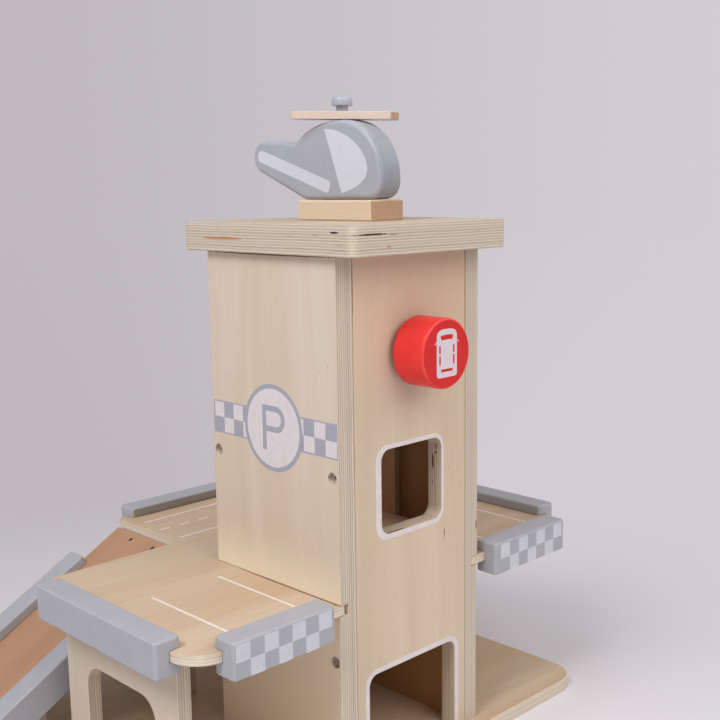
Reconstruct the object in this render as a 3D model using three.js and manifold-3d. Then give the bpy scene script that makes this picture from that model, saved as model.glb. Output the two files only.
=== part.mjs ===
// Wooden toy parking garage with a lift tower, a helicopter on its roof and a ramp, in millimetres, +Z up.
// The pieces are laid out from the tower's front left corner at the height of the deck's top face:
// x runs right, y runs back and z runs up. At the end the whole garage is moved so that its origin
// lies on the ground, under the middle of its outline.

import * as THREE from "three";
import { mergeVertices } from "three/addons/utils/BufferGeometryUtils.js";
import Module from "manifold-3d";

const wasm = await Module();
wasm.setup();

// Storeys and boards
const storeyHeight = 110; // from the base board's top to the deck's top
const baseThickness = 9;
const baseFrontReach = 10; // how far the base board stands out in front of the tower
const deckThickness = 6;
const wingReach = 102; // how far the deck and base reach past each side of the tower
const deckFrontSetback = 0.4; // the deck's front edge lies this far behind the tower's front
const deckDepth = 237.8; // from the tower's front to the deck's back edge
const laneWidth = 74.9; // the deck's back lane, behind the left wing
const laneStart = 4.6; // left end of the deck's back lane, from the tower's left face
const boardCornerRadius = 20;
const smallCornerRadius = 2;
const slackFit = 0.3; // the gap between pieces that lie against each other
const overrun = 2; // how far a cut runs past the face that it starts from

// Lift tower
const towerWidth = 120;
const towerDepth = 114.5;
const towerHeight = 197; // the walls above the deck
const sidePanelThickness = 12;
const frontPanelThickness = 11;
const backPanelThickness = 11;
const panelGap = 0.2; // the fine joint beside the front and back panels
const housingDepth = 6; // groove in each side panel's outer face, for the deck's edge
const housingPlay = 0.2; // above and below the deck in that groove
const deckEdgeInLeftHousing = 4;
const deckEdgeInRightHousing = 5.7;

// Window, doors and knob hole
const windowJamb = 22.1; // from each side panel to the window, before its shift
const windowHeight = 50.4;
const windowSill = 33.4; // above the deck's top
const windowShift = -0.4; // from the tower's middle
const openingCornerRadius = 6.5;
const doorJamb = 10; // from each side panel to the doors
const deckDoorHeight = 62;
const groundDoorHeight = 60;
const knobDrop = 57; // the knob's axis below the walls' top

// Roof plate
const roofThickness = 17;
const roofSideOverhang = 5;
const roofFrontOverhang = 19;
const roofBackOverhang = 17.5;
const roofCornerRadius = 6;
const dowelRadius = 3;
const dowelLength = 24;
const dowelPlay = 0.3;
const dowelInset = 22; // from the tower's front and back faces

// Kerbs, grooved bars that sit on the edge of the deck and ramp
const kerbWidth = 16.5;
const kerbHeight = 21;
const kerbRise = 6.7; // above the board's top face
const kerbLap = 7.2; // how far a kerb covers the board's edge
const kerbPlay = 0.2; // above and below the board in the groove
const kerbEndRadius = 2.6;
const kerbEdgeRadius = 1.2;
const frontKerbCornerGap = 18.4; // from a kerb's end to the board's corner
const sideKerbCornerGap = 20;
const rightKerbTowerGap = 8.4;
const leftKerbTowerGap = 12.2;
const backKerbLaneGap = 7.4;

// Ramp
const rampSlope = (29 * Math.PI) / 180;
const rampThickness = 6;
const rampLaneGap = 1.9; // from the left wing's back edge to the ramp's edge
const rampNose = 1.2; // height of the ramp's blunt foot
const rampKerbStart = 35; // along the slope from the ramp's top
const rampKerbFootGap = 34; // along the slope from the ramp's foot
const cleatDepth = 14;
const cleatHeight = 16;
const cleatSideGap = 4;
const rampPropInset = 2; // from the base board's left edge
const rampPropSideGap = 7;
const nailLength = 8.5;
const nailRadius = 0.8;
const nailHeadRadius = 1.3;
const nailHeadHeight = 0.8;
const nailPlay = 0.3;
const nailSetback = 5.6; // from the ramp's top edge
const nailInset = 23; // from the ramp's side edges

// Support walls under the deck
const supportThickness = 9;
const supportEdgeGap = 10; // from the deck's side edge to the wall's outer face
const rightSupportSetback = 92;
const supportKerbGap = 2; // from a wall's end to the kerb beside it
const leftSupportSetback = 30;
const leftSupportBackGap = 18;
const archMargin = 22; // wall left beside each arch
const archHeight = 68;
const archRadius = 14;

// Lift cabin
const cabinPlay = 1.2; // between the cabin and the shaft's sides
const cabinWallThickness = 5;
const cabinFloorThickness = 6;
const cabinFloorRise = 19.7; // the floor's top above the deck, with the lift near its top stop
const cabinFrontPlay = 3;
const cabinBackPlay = 2.5;
const cabinWallStart = 55; // from the tower's front
const cabinWallHeight = 62; // above the floor
const hangerThickness = 6;
const hangerDepth = 20;

// Knob, shaft and cord drum
const knobRadius = 20.4;
const knobLength = 23.4;
const knobFrontRadius = 2.6;
const knobBackRadius = 1.6;
const knobStandOff = 3.4; // from the front panel's face
const knobBoreDepth = 12;
const shaftRadius = 4;
const shaftPlay = 0.4;
const shaftSeatDepth = 6; // in the back panel
const washerRadius = 12;
const collarRadius = 8;
const collarLength = 4;
const drumCentreBack = 70; // from the tower's front
const drumGrooveWidth = 10;
const drumFlangeThickness = 3;
const drumFlangeRadius = 15;
const drumCoreRadius = 6.5;
const windingRadius = 9.1;
const cordRadius = 0.9;
const cordHolePlay = 0.5;
const cordKnotRadius = 2.6;
const cordKnotHeight = 3.4;
const knotShare = 0.5; // the knot's flat ends, as a share of its radius

// Screws through the side panels and the base board
const screwLength = 25;
const screwShankRadius = 1.6;
const screwHeadRadius = 3.2;
const screwHeadHeight = 2.4;
const screwSink = 2.4; // the head lies this far below the panel's face
const screwPlay = 0.3;
const screwSlotWidth = 0.8;
const screwSlotLength = 3.4;
const screwSlotDepth = 1.1;
const upperScrewHeight = 73.3;
const lowerScrewDrop = 35; // below the deck's top
const baseScrewInset = 24; // from the tower's front and back faces

// How finely round shapes are drawn
const blockEdgeSteps = 1;
const kerbEdgeSteps = 2;
const kerbEndSteps = 3;
const bodyEdgeSteps = 3;
const edgeSteps = 4;
const arcSteps = 6;
const broadArcSteps = 10;
const outlineSteps = 12;
const cordSides = 8;
const smallSides = 12;
const dowelSides = 16;
const screwSides = 20;
const roundSides = 24;
const drumSides = 32;
const knobSides = 48;

// Helicopter, placed from the tower's front along y and from the roof's top along z
const blockWidth = 27.4;
const blockHeight = 12.2;
const blockStart = 18.8;
const blockEnd = 82.2;
const blockEdgeRadius = 0.8;
const bodyThickness = 17.5;
const bodyEdgeRadius = 3;
const canopyCentreBack = 49.7;
const canopyCentreHeight = 24.1;
const canopyRadius = 35;
const bellyFront = 27;
const bellyBack = 82;
const tailCentreBack = 120.1;
const tailCentreHeight = 39.3;
const tailRadius = 10.4;
const tailTopFront = 99;
const tailTopHeight = 48.2;
const notchBack = 90.8;
const notchHeight = 45.9;
const humpRunShares = [0.18, 0.5]; // how far the two handles of the rear curve reach
const humpRiseShare = 0.62;
const pinBack = 55.6;
const pinRadius = 3.6;
const pinCapRadius = 6.3;
const pinCapHeight = 7.2;
const pinCapSide = 2.4; // the upright side below the dome
const pinCapSteps = 5;
const pinCapBottom = 67.7;
const pinSeatDepth = 12;
const pinPlay = 0.35;
const rotorLength = 66;
const rotorWidth = 14.5;
const rotorThickness = 4.7;
const rotorHeight = 59.6; // the rotor's underside at the pin
const rotorCornerRadius = 2.6;
const rotorShift = 1.1; // the hole is this far from the blade's middle
const rotorBorePlay = 0.5;
const rotorTurn = (23 * Math.PI) / 180; // the way the blade happens to point
const rotorLean = (2.3 * Math.PI) / 180; // it rests on the dome, a little nose down

// Colours and finishes
const finishes = {
  panelPly: { color: 0xd9c7ab, roughness: 0.62 },
  frontPly: { color: 0xd0b795, roughness: 0.62 },
  deckPly: { color: 0xcfae86, roughness: 0.6 },
  beech: { color: 0xe3c9a0, roughness: 0.55 },
  greyPaint: { color: 0xa7a8ae, roughness: 0.45 },
  redPaint: { color: 0xe0403a, roughness: 0.4 },
  steel: { color: 0xb9b7b0, roughness: 0.35, metalness: 0.9 },
  cord: { color: 0xe9e4d8, roughness: 0.9 },
  felt: { color: 0x4b4744, roughness: 0.95 },
};

// Places worked out from the sizes above
const baseTop = -storeyHeight;
const ground = baseTop - baseThickness;
const deckLeft = -wingReach;
const deckRight = towerWidth + wingReach;
const innerLeft = sidePanelThickness;
const innerRight = towerWidth - sidePanelThickness;
const towerMiddle = towerWidth / 2;
const backPanelFront = towerDepth - backPanelThickness;
const roofTop = towerHeight + roofThickness;
const deckUnderside = -deckThickness;
const wingDepth = deckDepth - laneWidth;
const windowWidth = innerRight - innerLeft - 2 * windowJamb;
const doorWidth = innerRight - innerLeft - 2 * doorJamb;
const knobHeight = towerHeight - knobDrop; // the knob's axis above the deck's top

const garage = new THREE.Group();

// Shape helpers

function toSolid(geometry) {
  const bare = geometry.clone();
  bare.deleteAttribute("normal");
  bare.deleteAttribute("uv");
  const merged = mergeVertices(bare);
  const mesh = new wasm.Mesh({
    numProp: 3,
    vertProperties: new Float32Array(merged.attributes.position.array),
    triVerts: new Uint32Array(merged.index.array),
  });
  return new wasm.Manifold(mesh);
}

function toGeometry(solid) {
  const mesh = solid.getMesh();
  const geometry = new THREE.BufferGeometry();
  geometry.setAttribute("position", new THREE.BufferAttribute(mesh.vertProperties, 3));
  geometry.setIndex(new THREE.BufferAttribute(mesh.triVerts, 1));
  return geometry;
}

function cutAway(geometry, tools) {
  let solid = toSolid(geometry);
  for (const tool of tools) solid = solid.subtract(toSolid(tool));
  return toGeometry(solid);
}

function boxBetween(x0, x1, y0, y1, z0, z1) {
  const box = new THREE.BoxGeometry(x1 - x0, y1 - y0, z1 - z0);
  return box.translate((x0 + x1) / 2, (y0 + y1) / 2, (z0 + z1) / 2);
}

function roundedPath(path, x0, y0, x1, y1, radius) {
  path.moveTo(x0 + radius, y0);
  path.lineTo(x1 - radius, y0);
  path.absarc(x1 - radius, y0 + radius, radius, -Math.PI / 2, 0);
  path.lineTo(x1, y1 - radius);
  path.absarc(x1 - radius, y1 - radius, radius, 0, Math.PI / 2);
  path.lineTo(x0 + radius, y1);
  path.absarc(x0 + radius, y1 - radius, radius, Math.PI / 2, Math.PI);
  path.lineTo(x0, y0 + radius);
  path.absarc(x0 + radius, y0 + radius, radius, Math.PI, 1.5 * Math.PI);
  return path;
}

const roundedShape = (...sizes) => roundedPath(new THREE.Shape(), ...sizes);
const roundedHole = (...sizes) => roundedPath(new THREE.Path(), ...sizes);

function extruded(shape, depth, curveSegments = arcSteps) {
  return new THREE.ExtrudeGeometry(shape, { depth, bevelEnabled: false, curveSegments });
}

// A shape drawn in x and z, extruded from y0 to y1
function alongY(shape, y0, y1, curveSegments) {
  const turn = new THREE.Matrix4().makeBasis(
    new THREE.Vector3(1, 0, 0),
    new THREE.Vector3(0, 0, 1),
    new THREE.Vector3(0, -1, 0),
  );
  return extruded(shape, y1 - y0, curveSegments).applyMatrix4(turn).translate(0, y1, 0);
}

// A shape drawn in y and z, extruded from x0 to x1
function alongX(shape, x0, x1, curveSegments) {
  const turn = new THREE.Matrix4().makeBasis(
    new THREE.Vector3(0, 1, 0),
    new THREE.Vector3(0, 0, 1),
    new THREE.Vector3(1, 0, 0),
  );
  return extruded(shape, x1 - x0, curveSegments).applyMatrix4(turn).translate(x0, 0, 0);
}

function cylinderAlongY(radius, y0, y1, x, z, segments = roundSides) {
  const rod = new THREE.CylinderGeometry(radius, radius, y1 - y0, segments);
  return rod.translate(x, (y0 + y1) / 2, z);
}

function cylinderAlongZ(radius, z0, z1, x, y, segments = roundSides) {
  const rod = new THREE.CylinderGeometry(radius, radius, z1 - z0, segments).rotateX(Math.PI / 2);
  return rod.translate(x, y, (z0 + z1) / 2);
}

// A turned ring about the y axis, from pairs of radius and place
function turned(profile, segments = drumSides) {
  const points = profile.map(([radius, place]) => new THREE.Vector2(radius, place));
  return new THREE.LatheGeometry(points, segments);
}

// A quarter round inside an outer radius, for a turned profile
function quarterTurn(outerRadius, centrePlace, radius, from) {
  const points = [];
  for (let step = 0; step <= edgeSteps; step += 1) {
    const angle = from + (step / edgeSteps) * (Math.PI / 2);
    const out = outerRadius - radius + radius * Math.cos(angle);
    points.push([out, centrePlace + radius * Math.sin(angle)]);
  }
  return points;
}

function addPiece(name, geometry, finish, parent = garage) {
  const piece = new THREE.Mesh(geometry, new THREE.MeshStandardMaterial(finishes[finish]));
  piece.name = name;
  parent.add(piece);
  return piece;
}

// Base board and deck

const baseShape = roundedShape(deckLeft, -baseFrontReach, deckRight, deckDepth, boardCornerRadius);
const baseBoard = extruded(baseShape, baseThickness, broadArcSteps).translate(0, 0, ground);

function deckShape() {
  const slotLeft = deckEdgeInLeftHousing;
  const slotRight = towerWidth - deckEdgeInRightHousing;
  const slotEnd = towerDepth + slackFit;
  const front = deckFrontSetback;
  const corner = boardCornerRadius;
  const small = smallCornerRadius;
  const shape = new THREE.Shape();
  shape.moveTo(deckLeft + corner, front);
  shape.lineTo(slotLeft - small, front);
  shape.absarc(slotLeft - small, front + small, small, -Math.PI / 2, 0);
  shape.lineTo(slotLeft, slotEnd);
  shape.lineTo(slotRight, slotEnd);
  shape.lineTo(slotRight, front + small);
  shape.absarc(slotRight + small, front + small, small, Math.PI, 1.5 * Math.PI);
  shape.lineTo(deckRight - corner, front);
  shape.absarc(deckRight - corner, front + corner, corner, -Math.PI / 2, 0);
  shape.lineTo(deckRight, deckDepth - corner);
  shape.absarc(deckRight - corner, deckDepth - corner, corner, 0, Math.PI / 2);
  shape.lineTo(laneStart + small, deckDepth);
  shape.absarc(laneStart + small, deckDepth - small, small, Math.PI / 2, Math.PI);
  shape.lineTo(laneStart, wingDepth);
  shape.lineTo(deckLeft + corner, wingDepth);
  shape.absarc(deckLeft + corner, wingDepth - corner, corner, Math.PI / 2, Math.PI);
  shape.lineTo(deckLeft, front + corner);
  shape.absarc(deckLeft + corner, front + corner, corner, Math.PI, 1.5 * Math.PI);
  return shape;
}

const deckPlate = extruded(deckShape(), deckThickness, broadArcSteps);
addPiece("deck_plate", deckPlate.translate(0, 0, deckUnderside), "deckPly");

// Screws, modelled along y from the head's rim and then seated, each with its own clearance cut

function screwSolid() {
  const slots = [
    [screwSlotLength / 2, screwSlotWidth / 2],
    [screwSlotWidth / 2, screwSlotLength / 2],
  ].map(([x, z]) => boxBetween(-x, x, -overrun, screwSlotDepth, -z, z));
  const profile = [
    [0, 0],
    [screwHeadRadius, 0],
    [screwShankRadius, screwHeadHeight],
    [screwShankRadius, screwLength],
    [0, screwLength],
  ];
  return cutAway(turned(profile, screwSides), slots);
}

// The hole also runs out past the board's face above the sunk head
function screwCut() {
  const mouth = -screwSink - overrun;
  const profile = [
    [0, mouth],
    [screwHeadRadius + screwPlay, mouth],
    [screwHeadRadius + screwPlay, 0],
    [screwShankRadius + screwPlay, screwHeadHeight],
    [screwShankRadius + screwPlay, screwLength + screwPlay],
    [0, screwLength + screwPlay],
  ];
  return turned(profile, screwSides);
}

function seat(direction, x, y, z) {
  const turn = new THREE.Quaternion().setFromUnitVectors(new THREE.Vector3(0, 1, 0), direction);
  return new THREE.Matrix4().compose(new THREE.Vector3(x, y, z), turn, new THREE.Vector3(1, 1, 1));
}

const screwSeats = new Map();
for (const [side, sign, face] of [
  ["left", 1, 0],
  ["right", -1, towerWidth],
]) {
  const inwards = new THREE.Vector3(sign, 0, 0);
  const sunk = face + sign * screwSink;
  for (const [row, height] of [
    ["upper", upperScrewHeight],
    ["lower", -lowerScrewDrop],
  ]) {
    const inFront = seat(inwards, sunk, frontPanelThickness / 2, height);
    const inBack = seat(inwards, sunk, towerDepth - backPanelThickness / 2, height);
    screwSeats.set(`screw_${side}_${row}_front`, inFront);
    screwSeats.set(`screw_${side}_${row}_back`, inBack);
  }
  const upwards = new THREE.Vector3(0, 0, 1);
  const middle = face + (sign * sidePanelThickness) / 2;
  const low = ground + screwSink;
  screwSeats.set(`base_screw_${side}_front`, seat(upwards, middle, baseScrewInset, low));
  screwSeats.set(`base_screw_${side}_back`, seat(upwards, middle, towerDepth - baseScrewInset, low));
}

// The holes of all the screws that reach a board
function screwCutsIn(board) {
  board.computeBoundingBox();
  const cuts = [...screwSeats.values()].map((matrix) => screwCut().applyMatrix4(matrix));
  return cuts.filter((cut) => {
    cut.computeBoundingBox();
    return cut.boundingBox.intersectsBox(board.boundingBox);
  });
}

addPiece("base_board", cutAway(baseBoard, screwCutsIn(baseBoard)), "deckPly");
for (const [name, matrix] of screwSeats) addPiece(name, screwSolid().applyMatrix4(matrix), "steel");

// Tower panels

const dowelPlaces = [
  ["left", sidePanelThickness / 2],
  ["right", towerWidth - sidePanelThickness / 2],
].flatMap(([side, x]) => [
  [`roof_dowel_${side}_front`, x, dowelInset],
  [`roof_dowel_${side}_back`, x, towerDepth - dowelInset],
]);

function dowelAt(x, y, play) {
  const low = towerHeight - dowelLength / 2 - play;
  return cylinderAlongZ(dowelRadius + play, low, low + dowelLength + 2 * play, x, y, dowelSides);
}

const dowelCuts = () => dowelPlaces.map(([, x, y]) => dowelAt(x, y, dowelPlay));

function sidePanel(left) {
  const x0 = left ? 0 : innerRight;
  const x1 = left ? innerLeft : towerWidth;
  const grooveFrom = left ? -overrun : towerWidth - housingDepth;
  const grooveTo = left ? housingDepth : towerWidth + overrun;
  const housing = boxBetween(
    grooveFrom,
    grooveTo,
    -overrun,
    towerDepth + overrun,
    deckUnderside - housingPlay,
    housingPlay,
  );
  const panel = boxBetween(x0, x1, 0, towerDepth, baseTop, towerHeight);
  return cutAway(panel, [housing, ...screwCutsIn(panel), ...dowelCuts()]);
}

addPiece("tower_left_panel", sidePanel(true), "panelPly");
addPiece("tower_right_panel", sidePanel(false), "panelPly");

const doorLeft = towerMiddle - doorWidth / 2;
const doorRight = towerMiddle + doorWidth / 2;
const panelLeft = innerLeft + panelGap;
const panelRight = innerRight - panelGap;

// A door with a flat sill and rounded upper corners
function doorPath(sill, height) {
  const radius = openingCornerRadius;
  const top = sill + height;
  const path = new THREE.Path();
  path.moveTo(doorLeft, sill);
  path.lineTo(doorLeft, top - radius);
  path.absarc(doorLeft + radius, top - radius, radius, Math.PI, Math.PI / 2, true);
  path.lineTo(doorRight - radius, top);
  path.absarc(doorRight - radius, top - radius, radius, Math.PI / 2, 0, true);
  path.lineTo(doorRight, sill);
  return path;
}

function panelShape() {
  const shape = new THREE.Shape();
  shape.moveTo(panelLeft, baseTop);
  shape.lineTo(panelRight, baseTop);
  shape.lineTo(panelRight, towerHeight);
  shape.lineTo(panelLeft, towerHeight);
  return shape;
}

function frontPanel() {
  const shape = panelShape();
  const windowLeft = towerMiddle + windowShift - windowWidth / 2;
  const windowRight = windowLeft + windowWidth;
  const windowTop = windowSill + windowHeight;
  const shaftHole = new THREE.Path();
  shaftHole.absarc(towerMiddle, knobHeight, shaftRadius + shaftPlay, 0, 2 * Math.PI);
  shape.holes.push(shaftHole);
  shape.holes.push(
    roundedHole(windowLeft, windowSill, windowRight, windowTop, openingCornerRadius),
  );
  const panel = alongY(shape, 0, frontPanelThickness);
  const doorPoints = doorPath(baseTop - overrun, groundDoorHeight + overrun).getPoints(arcSteps);
  const doorway = alongY(new THREE.Shape(doorPoints), -overrun, frontPanelThickness + overrun);
  return cutAway(panel, [doorway, ...screwCutsIn(panel)]);
}

function backPanel() {
  const shape = panelShape();
  shape.holes.push(doorPath(0, deckDoorHeight));
  const panel = alongY(shape, backPanelFront, towerDepth);
  const shaftSeat = cylinderAlongY(
    shaftRadius + shaftPlay,
    backPanelFront - overrun,
    backPanelFront + shaftSeatDepth + shaftPlay,
    towerMiddle,
    knobHeight,
  );
  return cutAway(panel, [shaftSeat, ...screwCutsIn(panel)]);
}

addPiece("tower_front_panel", frontPanel(), "frontPly");
addPiece("tower_back_panel", backPanel(), "frontPly");

// Roof plate and its hidden dowels

const roofShape = roundedShape(
  -roofSideOverhang,
  -roofFrontOverhang,
  towerWidth + roofSideOverhang,
  towerDepth + roofBackOverhang,
  roofCornerRadius,
);
const roofPlate = extruded(roofShape, roofThickness, broadArcSteps).translate(0, 0, towerHeight);
addPiece("roof_plate", cutAway(roofPlate, dowelCuts()), "panelPly");
for (const [name, x, y] of dowelPlaces) addPiece(name, dowelAt(x, y, 0), "beech");

// Kerbs: the bar runs along x, its inner face is at y = 0 and its outer face at y = kerbWidth

function kerbBar(length, boardThickness) {
  const plan = roundedShape(0, 0, length, kerbWidth, kerbEndRadius);
  const bar = new THREE.ExtrudeGeometry(plan, {
    depth: kerbHeight - 2 * kerbEdgeRadius,
    bevelEnabled: true,
    bevelThickness: kerbEdgeRadius,
    bevelSize: kerbEdgeRadius,
    bevelOffset: -kerbEdgeRadius,
    bevelSegments: kerbEdgeSteps,
    curveSegments: kerbEndSteps,
  }).translate(0, 0, kerbRise - kerbHeight + kerbEdgeRadius);
  const groove = boxBetween(
    -overrun,
    length + overrun,
    -overrun,
    kerbLap + slackFit,
    -boardThickness - kerbPlay,
    kerbPlay,
  );
  return cutAway(bar, [groove]);
}

// Each kerb starts at a corner of its inner face and is turned so that its outer face looks outwards
function addKerb(name, length, startX, startY, turn, boardThickness, parent = garage) {
  const kerb = addPiece(name, kerbBar(length, boardThickness), "greyPaint", parent);
  kerb.position.set(startX, startY, 0);
  kerb.rotation.z = turn;
}

const frontKerbLine = deckFrontSetback + kerbLap;
const sideKerbStart = deckFrontSetback + sideKerbCornerGap;
const rightKerbLine = deckRight - kerbLap;
const leftKerbLine = deckLeft + kerbLap;
const backKerbLine = deckDepth - kerbLap;
const frontKerbRightEnd = deckRight - frontKerbCornerGap;
const frontKerbLeftEnd = deckLeft + frontKerbCornerGap;
const backKerbStart = laneStart + backKerbLaneGap;
const rightKerbLength = frontKerbRightEnd - towerWidth - rightKerbTowerGap;
const leftKerbLength = -leftKerbTowerGap - frontKerbLeftEnd;
const sideKerbLength = deckDepth - sideKerbCornerGap - sideKerbStart;
const leftSideKerbLength = wingDepth - sideKerbCornerGap - sideKerbStart;

addKerb("kerb_front_right", rightKerbLength, frontKerbRightEnd, frontKerbLine, Math.PI, deckThickness);
addKerb("kerb_front_left", leftKerbLength, -leftKerbTowerGap, frontKerbLine, Math.PI, deckThickness);
addKerb(
  "kerb_side_right",
  sideKerbLength,
  rightKerbLine,
  deckDepth - sideKerbCornerGap,
  -Math.PI / 2,
  deckThickness,
);
addKerb("kerb_side_left", leftSideKerbLength, leftKerbLine, sideKerbStart, Math.PI / 2, deckThickness);
addKerb("kerb_back", frontKerbRightEnd - backKerbStart, backKerbStart, backKerbLine, 0, deckThickness);

// Support walls, each with an arch to drive through

function archedWall(x0, y0, y1) {
  const archLeft = y0 + archMargin;
  const archRight = y1 - archMargin;
  const archTop = baseTop + archHeight;
  const shape = new THREE.Shape();
  shape.moveTo(y0, baseTop);
  shape.lineTo(archLeft, baseTop);
  shape.lineTo(archLeft, archTop - archRadius);
  shape.absarc(archLeft + archRadius, archTop - archRadius, archRadius, Math.PI, Math.PI / 2, true);
  shape.lineTo(archRight - archRadius, archTop);
  shape.absarc(archRight - archRadius, archTop - archRadius, archRadius, Math.PI / 2, 0, true);
  shape.lineTo(archRight, baseTop);
  shape.lineTo(y1, baseTop);
  shape.lineTo(y1, deckUnderside);
  shape.lineTo(y0, deckUnderside);
  return alongX(shape, x0, x0 + supportThickness);
}

const rightSupportX = deckRight - supportEdgeGap - supportThickness;
const leftSupportX = deckLeft + supportEdgeGap;
const supportBack = backKerbLine - supportKerbGap;
addPiece("support_right", archedWall(rightSupportX, rightSupportSetback, supportBack), "panelPly");
addPiece(
  "support_left",
  archedWall(leftSupportX, leftSupportSetback, wingDepth - leftSupportBackGap),
  "panelPly",
);
const laneWallX = laneStart + slackFit;
addPiece(
  "support_lane",
  boxBetween(laneWallX, laneWallX + supportThickness, wingDepth, supportBack, baseTop, deckUnderside),
  "panelPly",
);

// Ramp: drawn in its own turned group, whose origin is the top edge of its upper face

const rampTopX = laneStart - slackFit;
const rampTopZ = deckUnderside - slackFit;
const rampFront = wingDepth + rampLaneGap;
const rampBack = deckDepth;
const rampLength = (rampTopZ - ground) / Math.sin(rampSlope);
const ramp = new THREE.Group();
ramp.position.set(rampTopX, 0, rampTopZ);
ramp.rotation.y = -rampSlope;
garage.add(ramp);

function rampShape() {
  const footX = -rampLength + rampNose / Math.sin(rampSlope);
  const shape = new THREE.Shape();
  shape.moveTo(0, 0);
  shape.lineTo(footX, 0);
  shape.lineTo(footX - rampNose * Math.sin(rampSlope), -rampNose * Math.cos(rampSlope));
  shape.lineTo(-rampLength + rampThickness / Math.tan(rampSlope), -rampThickness);
  shape.lineTo(-rampThickness * Math.tan(rampSlope), -rampThickness);
  return shape;
}

// Nails that hold the ramp's top end to its cleat, in the ramp's own directions
function nailAt(y, play) {
  const head = nailHeadRadius + play;
  const shank = nailRadius + play;
  const nail = turned(
    [
      [0, play ? -overrun : 0],
      [head, play ? -overrun : 0],
      [head, nailHeadHeight + play],
      [shank, nailHeadHeight + play],
      [shank, nailLength + play],
      [0, nailLength + play],
    ],
    smallSides,
  );
  return nail.rotateX(-Math.PI / 2).translate(-nailSetback, y, 0);
}

const nailPlaces = [
  ["ramp_nail_front", rampFront + nailInset],
  ["ramp_nail_back", rampBack - nailInset],
];
const nailCuts = () => nailPlaces.map(([, y]) => nailAt(y, nailPlay));
const rampBoard = alongY(rampShape(), rampFront, rampBack);
addPiece("ramp_board", cutAway(rampBoard, nailCuts()), "deckPly", ramp);
for (const [name, y] of nailPlaces) addPiece(name, nailAt(y, 0), "steel", ramp);
const rampKerbLength = rampLength - rampKerbStart - rampKerbFootGap;
addKerb(
  "ramp_kerb_front",
  rampKerbLength,
  -rampKerbStart,
  rampFront + kerbLap,
  Math.PI,
  rampThickness,
  ramp,
);
addKerb(
  "ramp_kerb_back",
  rampKerbLength,
  -rampKerbStart - rampKerbLength,
  rampBack - kerbLap,
  0,
  rampThickness,
  ramp,
);

// Height of the face under the ramp, less the gap to what carries it
function underRamp(x) {
  const drop = (rampTopX - x) * Math.tan(rampSlope) + rampThickness / Math.cos(rampSlope);
  return rampTopZ - drop - slackFit;
}

function slantedProp(x0, x1, bottom, y0, y1) {
  const shape = new THREE.Shape();
  shape.moveTo(x0, bottom);
  shape.lineTo(x1, bottom);
  shape.lineTo(x1, underRamp(x1));
  shape.lineTo(x0, underRamp(x0));
  return alongY(shape, y0, y1);
}

const cleatLeft = rampTopX - cleatDepth;
const cleat = slantedProp(
  cleatLeft,
  rampTopX + slackFit,
  underRamp(cleatLeft) - cleatHeight,
  rampFront + cleatSideGap,
  supportBack - cleatSideGap,
);
ramp.updateMatrixWorld();
const cleatCuts = nailCuts().map((cut) => cut.applyMatrix4(ramp.matrixWorld));
addPiece("ramp_cleat", cutAway(cleat, cleatCuts), "beech");
const propLeft = deckLeft + rampPropInset;
addPiece(
  "ramp_prop",
  slantedProp(
    propLeft,
    propLeft + supportThickness,
    baseTop,
    rampFront + rampPropSideGap + kerbLap,
    rampBack - rampPropSideGap - kerbLap,
  ),
  "panelPly",
);

// Lift cabin, hanging on its cord near the top of its travel

const cabinLeft = innerLeft + cabinPlay;
const cabinRight = innerRight - cabinPlay;
const floorLeft = cabinLeft + cabinWallThickness;
const floorRight = cabinRight - cabinWallThickness;
const floorBottom = cabinFloorRise - cabinFloorThickness;
const cabinFront = frontPanelThickness + cabinFrontPlay;
const cabinBack = backPanelFront - cabinBackPlay;
const hangerBottom = cabinFloorRise + cabinWallHeight;
const hangerTop = hangerBottom + hangerThickness;
const cordX = towerMiddle + windingRadius + cordRadius + slackFit;

addPiece(
  "lift_floor",
  boxBetween(floorLeft, floorRight, cabinFront, cabinBack, floorBottom, cabinFloorRise),
  "frontPly",
);
addPiece(
  "lift_wall_left",
  boxBetween(cabinLeft, floorLeft, cabinWallStart, cabinBack, floorBottom, hangerBottom),
  "frontPly",
);
addPiece(
  "lift_wall_right",
  boxBetween(floorRight, cabinRight, cabinWallStart, cabinBack, floorBottom, hangerBottom),
  "frontPly",
);
const hanger = boxBetween(
  cabinLeft,
  cabinRight,
  drumCentreBack - hangerDepth / 2,
  drumCentreBack + hangerDepth / 2,
  hangerBottom,
  hangerTop,
);
const cordHole = cylinderAlongZ(
  cordRadius + cordHolePlay,
  hangerBottom - overrun,
  hangerTop + overrun,
  cordX,
  drumCentreBack,
  smallSides,
);
addPiece("lift_hanger", cutAway(hanger, [cordHole]), "beech");
addPiece(
  "lift_cord",
  cylinderAlongZ(cordRadius, hangerBottom, knobHeight, cordX, drumCentreBack, cordSides),
  "cord",
);
const knotTop = hangerBottom - slackFit;
const knot = turned(
  [
    [0, -cordKnotHeight / 2],
    [knotShare * cordKnotRadius, -cordKnotHeight / 2],
    [cordKnotRadius, 0],
    [knotShare * cordKnotRadius, cordKnotHeight / 2],
    [0, cordKnotHeight / 2],
  ],
  smallSides,
).rotateX(Math.PI / 2);
addPiece(
  "cord_knot",
  knot.translate(cordX, drumCentreBack, knotTop - cordKnotHeight / 2),
  "cord",
);

// Knob, washer, shaft, collar, drum and the cord wound on it, all turned about one axis along y

const knobAxis = new THREE.Group();
knobAxis.position.set(towerMiddle, 0, knobHeight);
garage.add(knobAxis);

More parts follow.
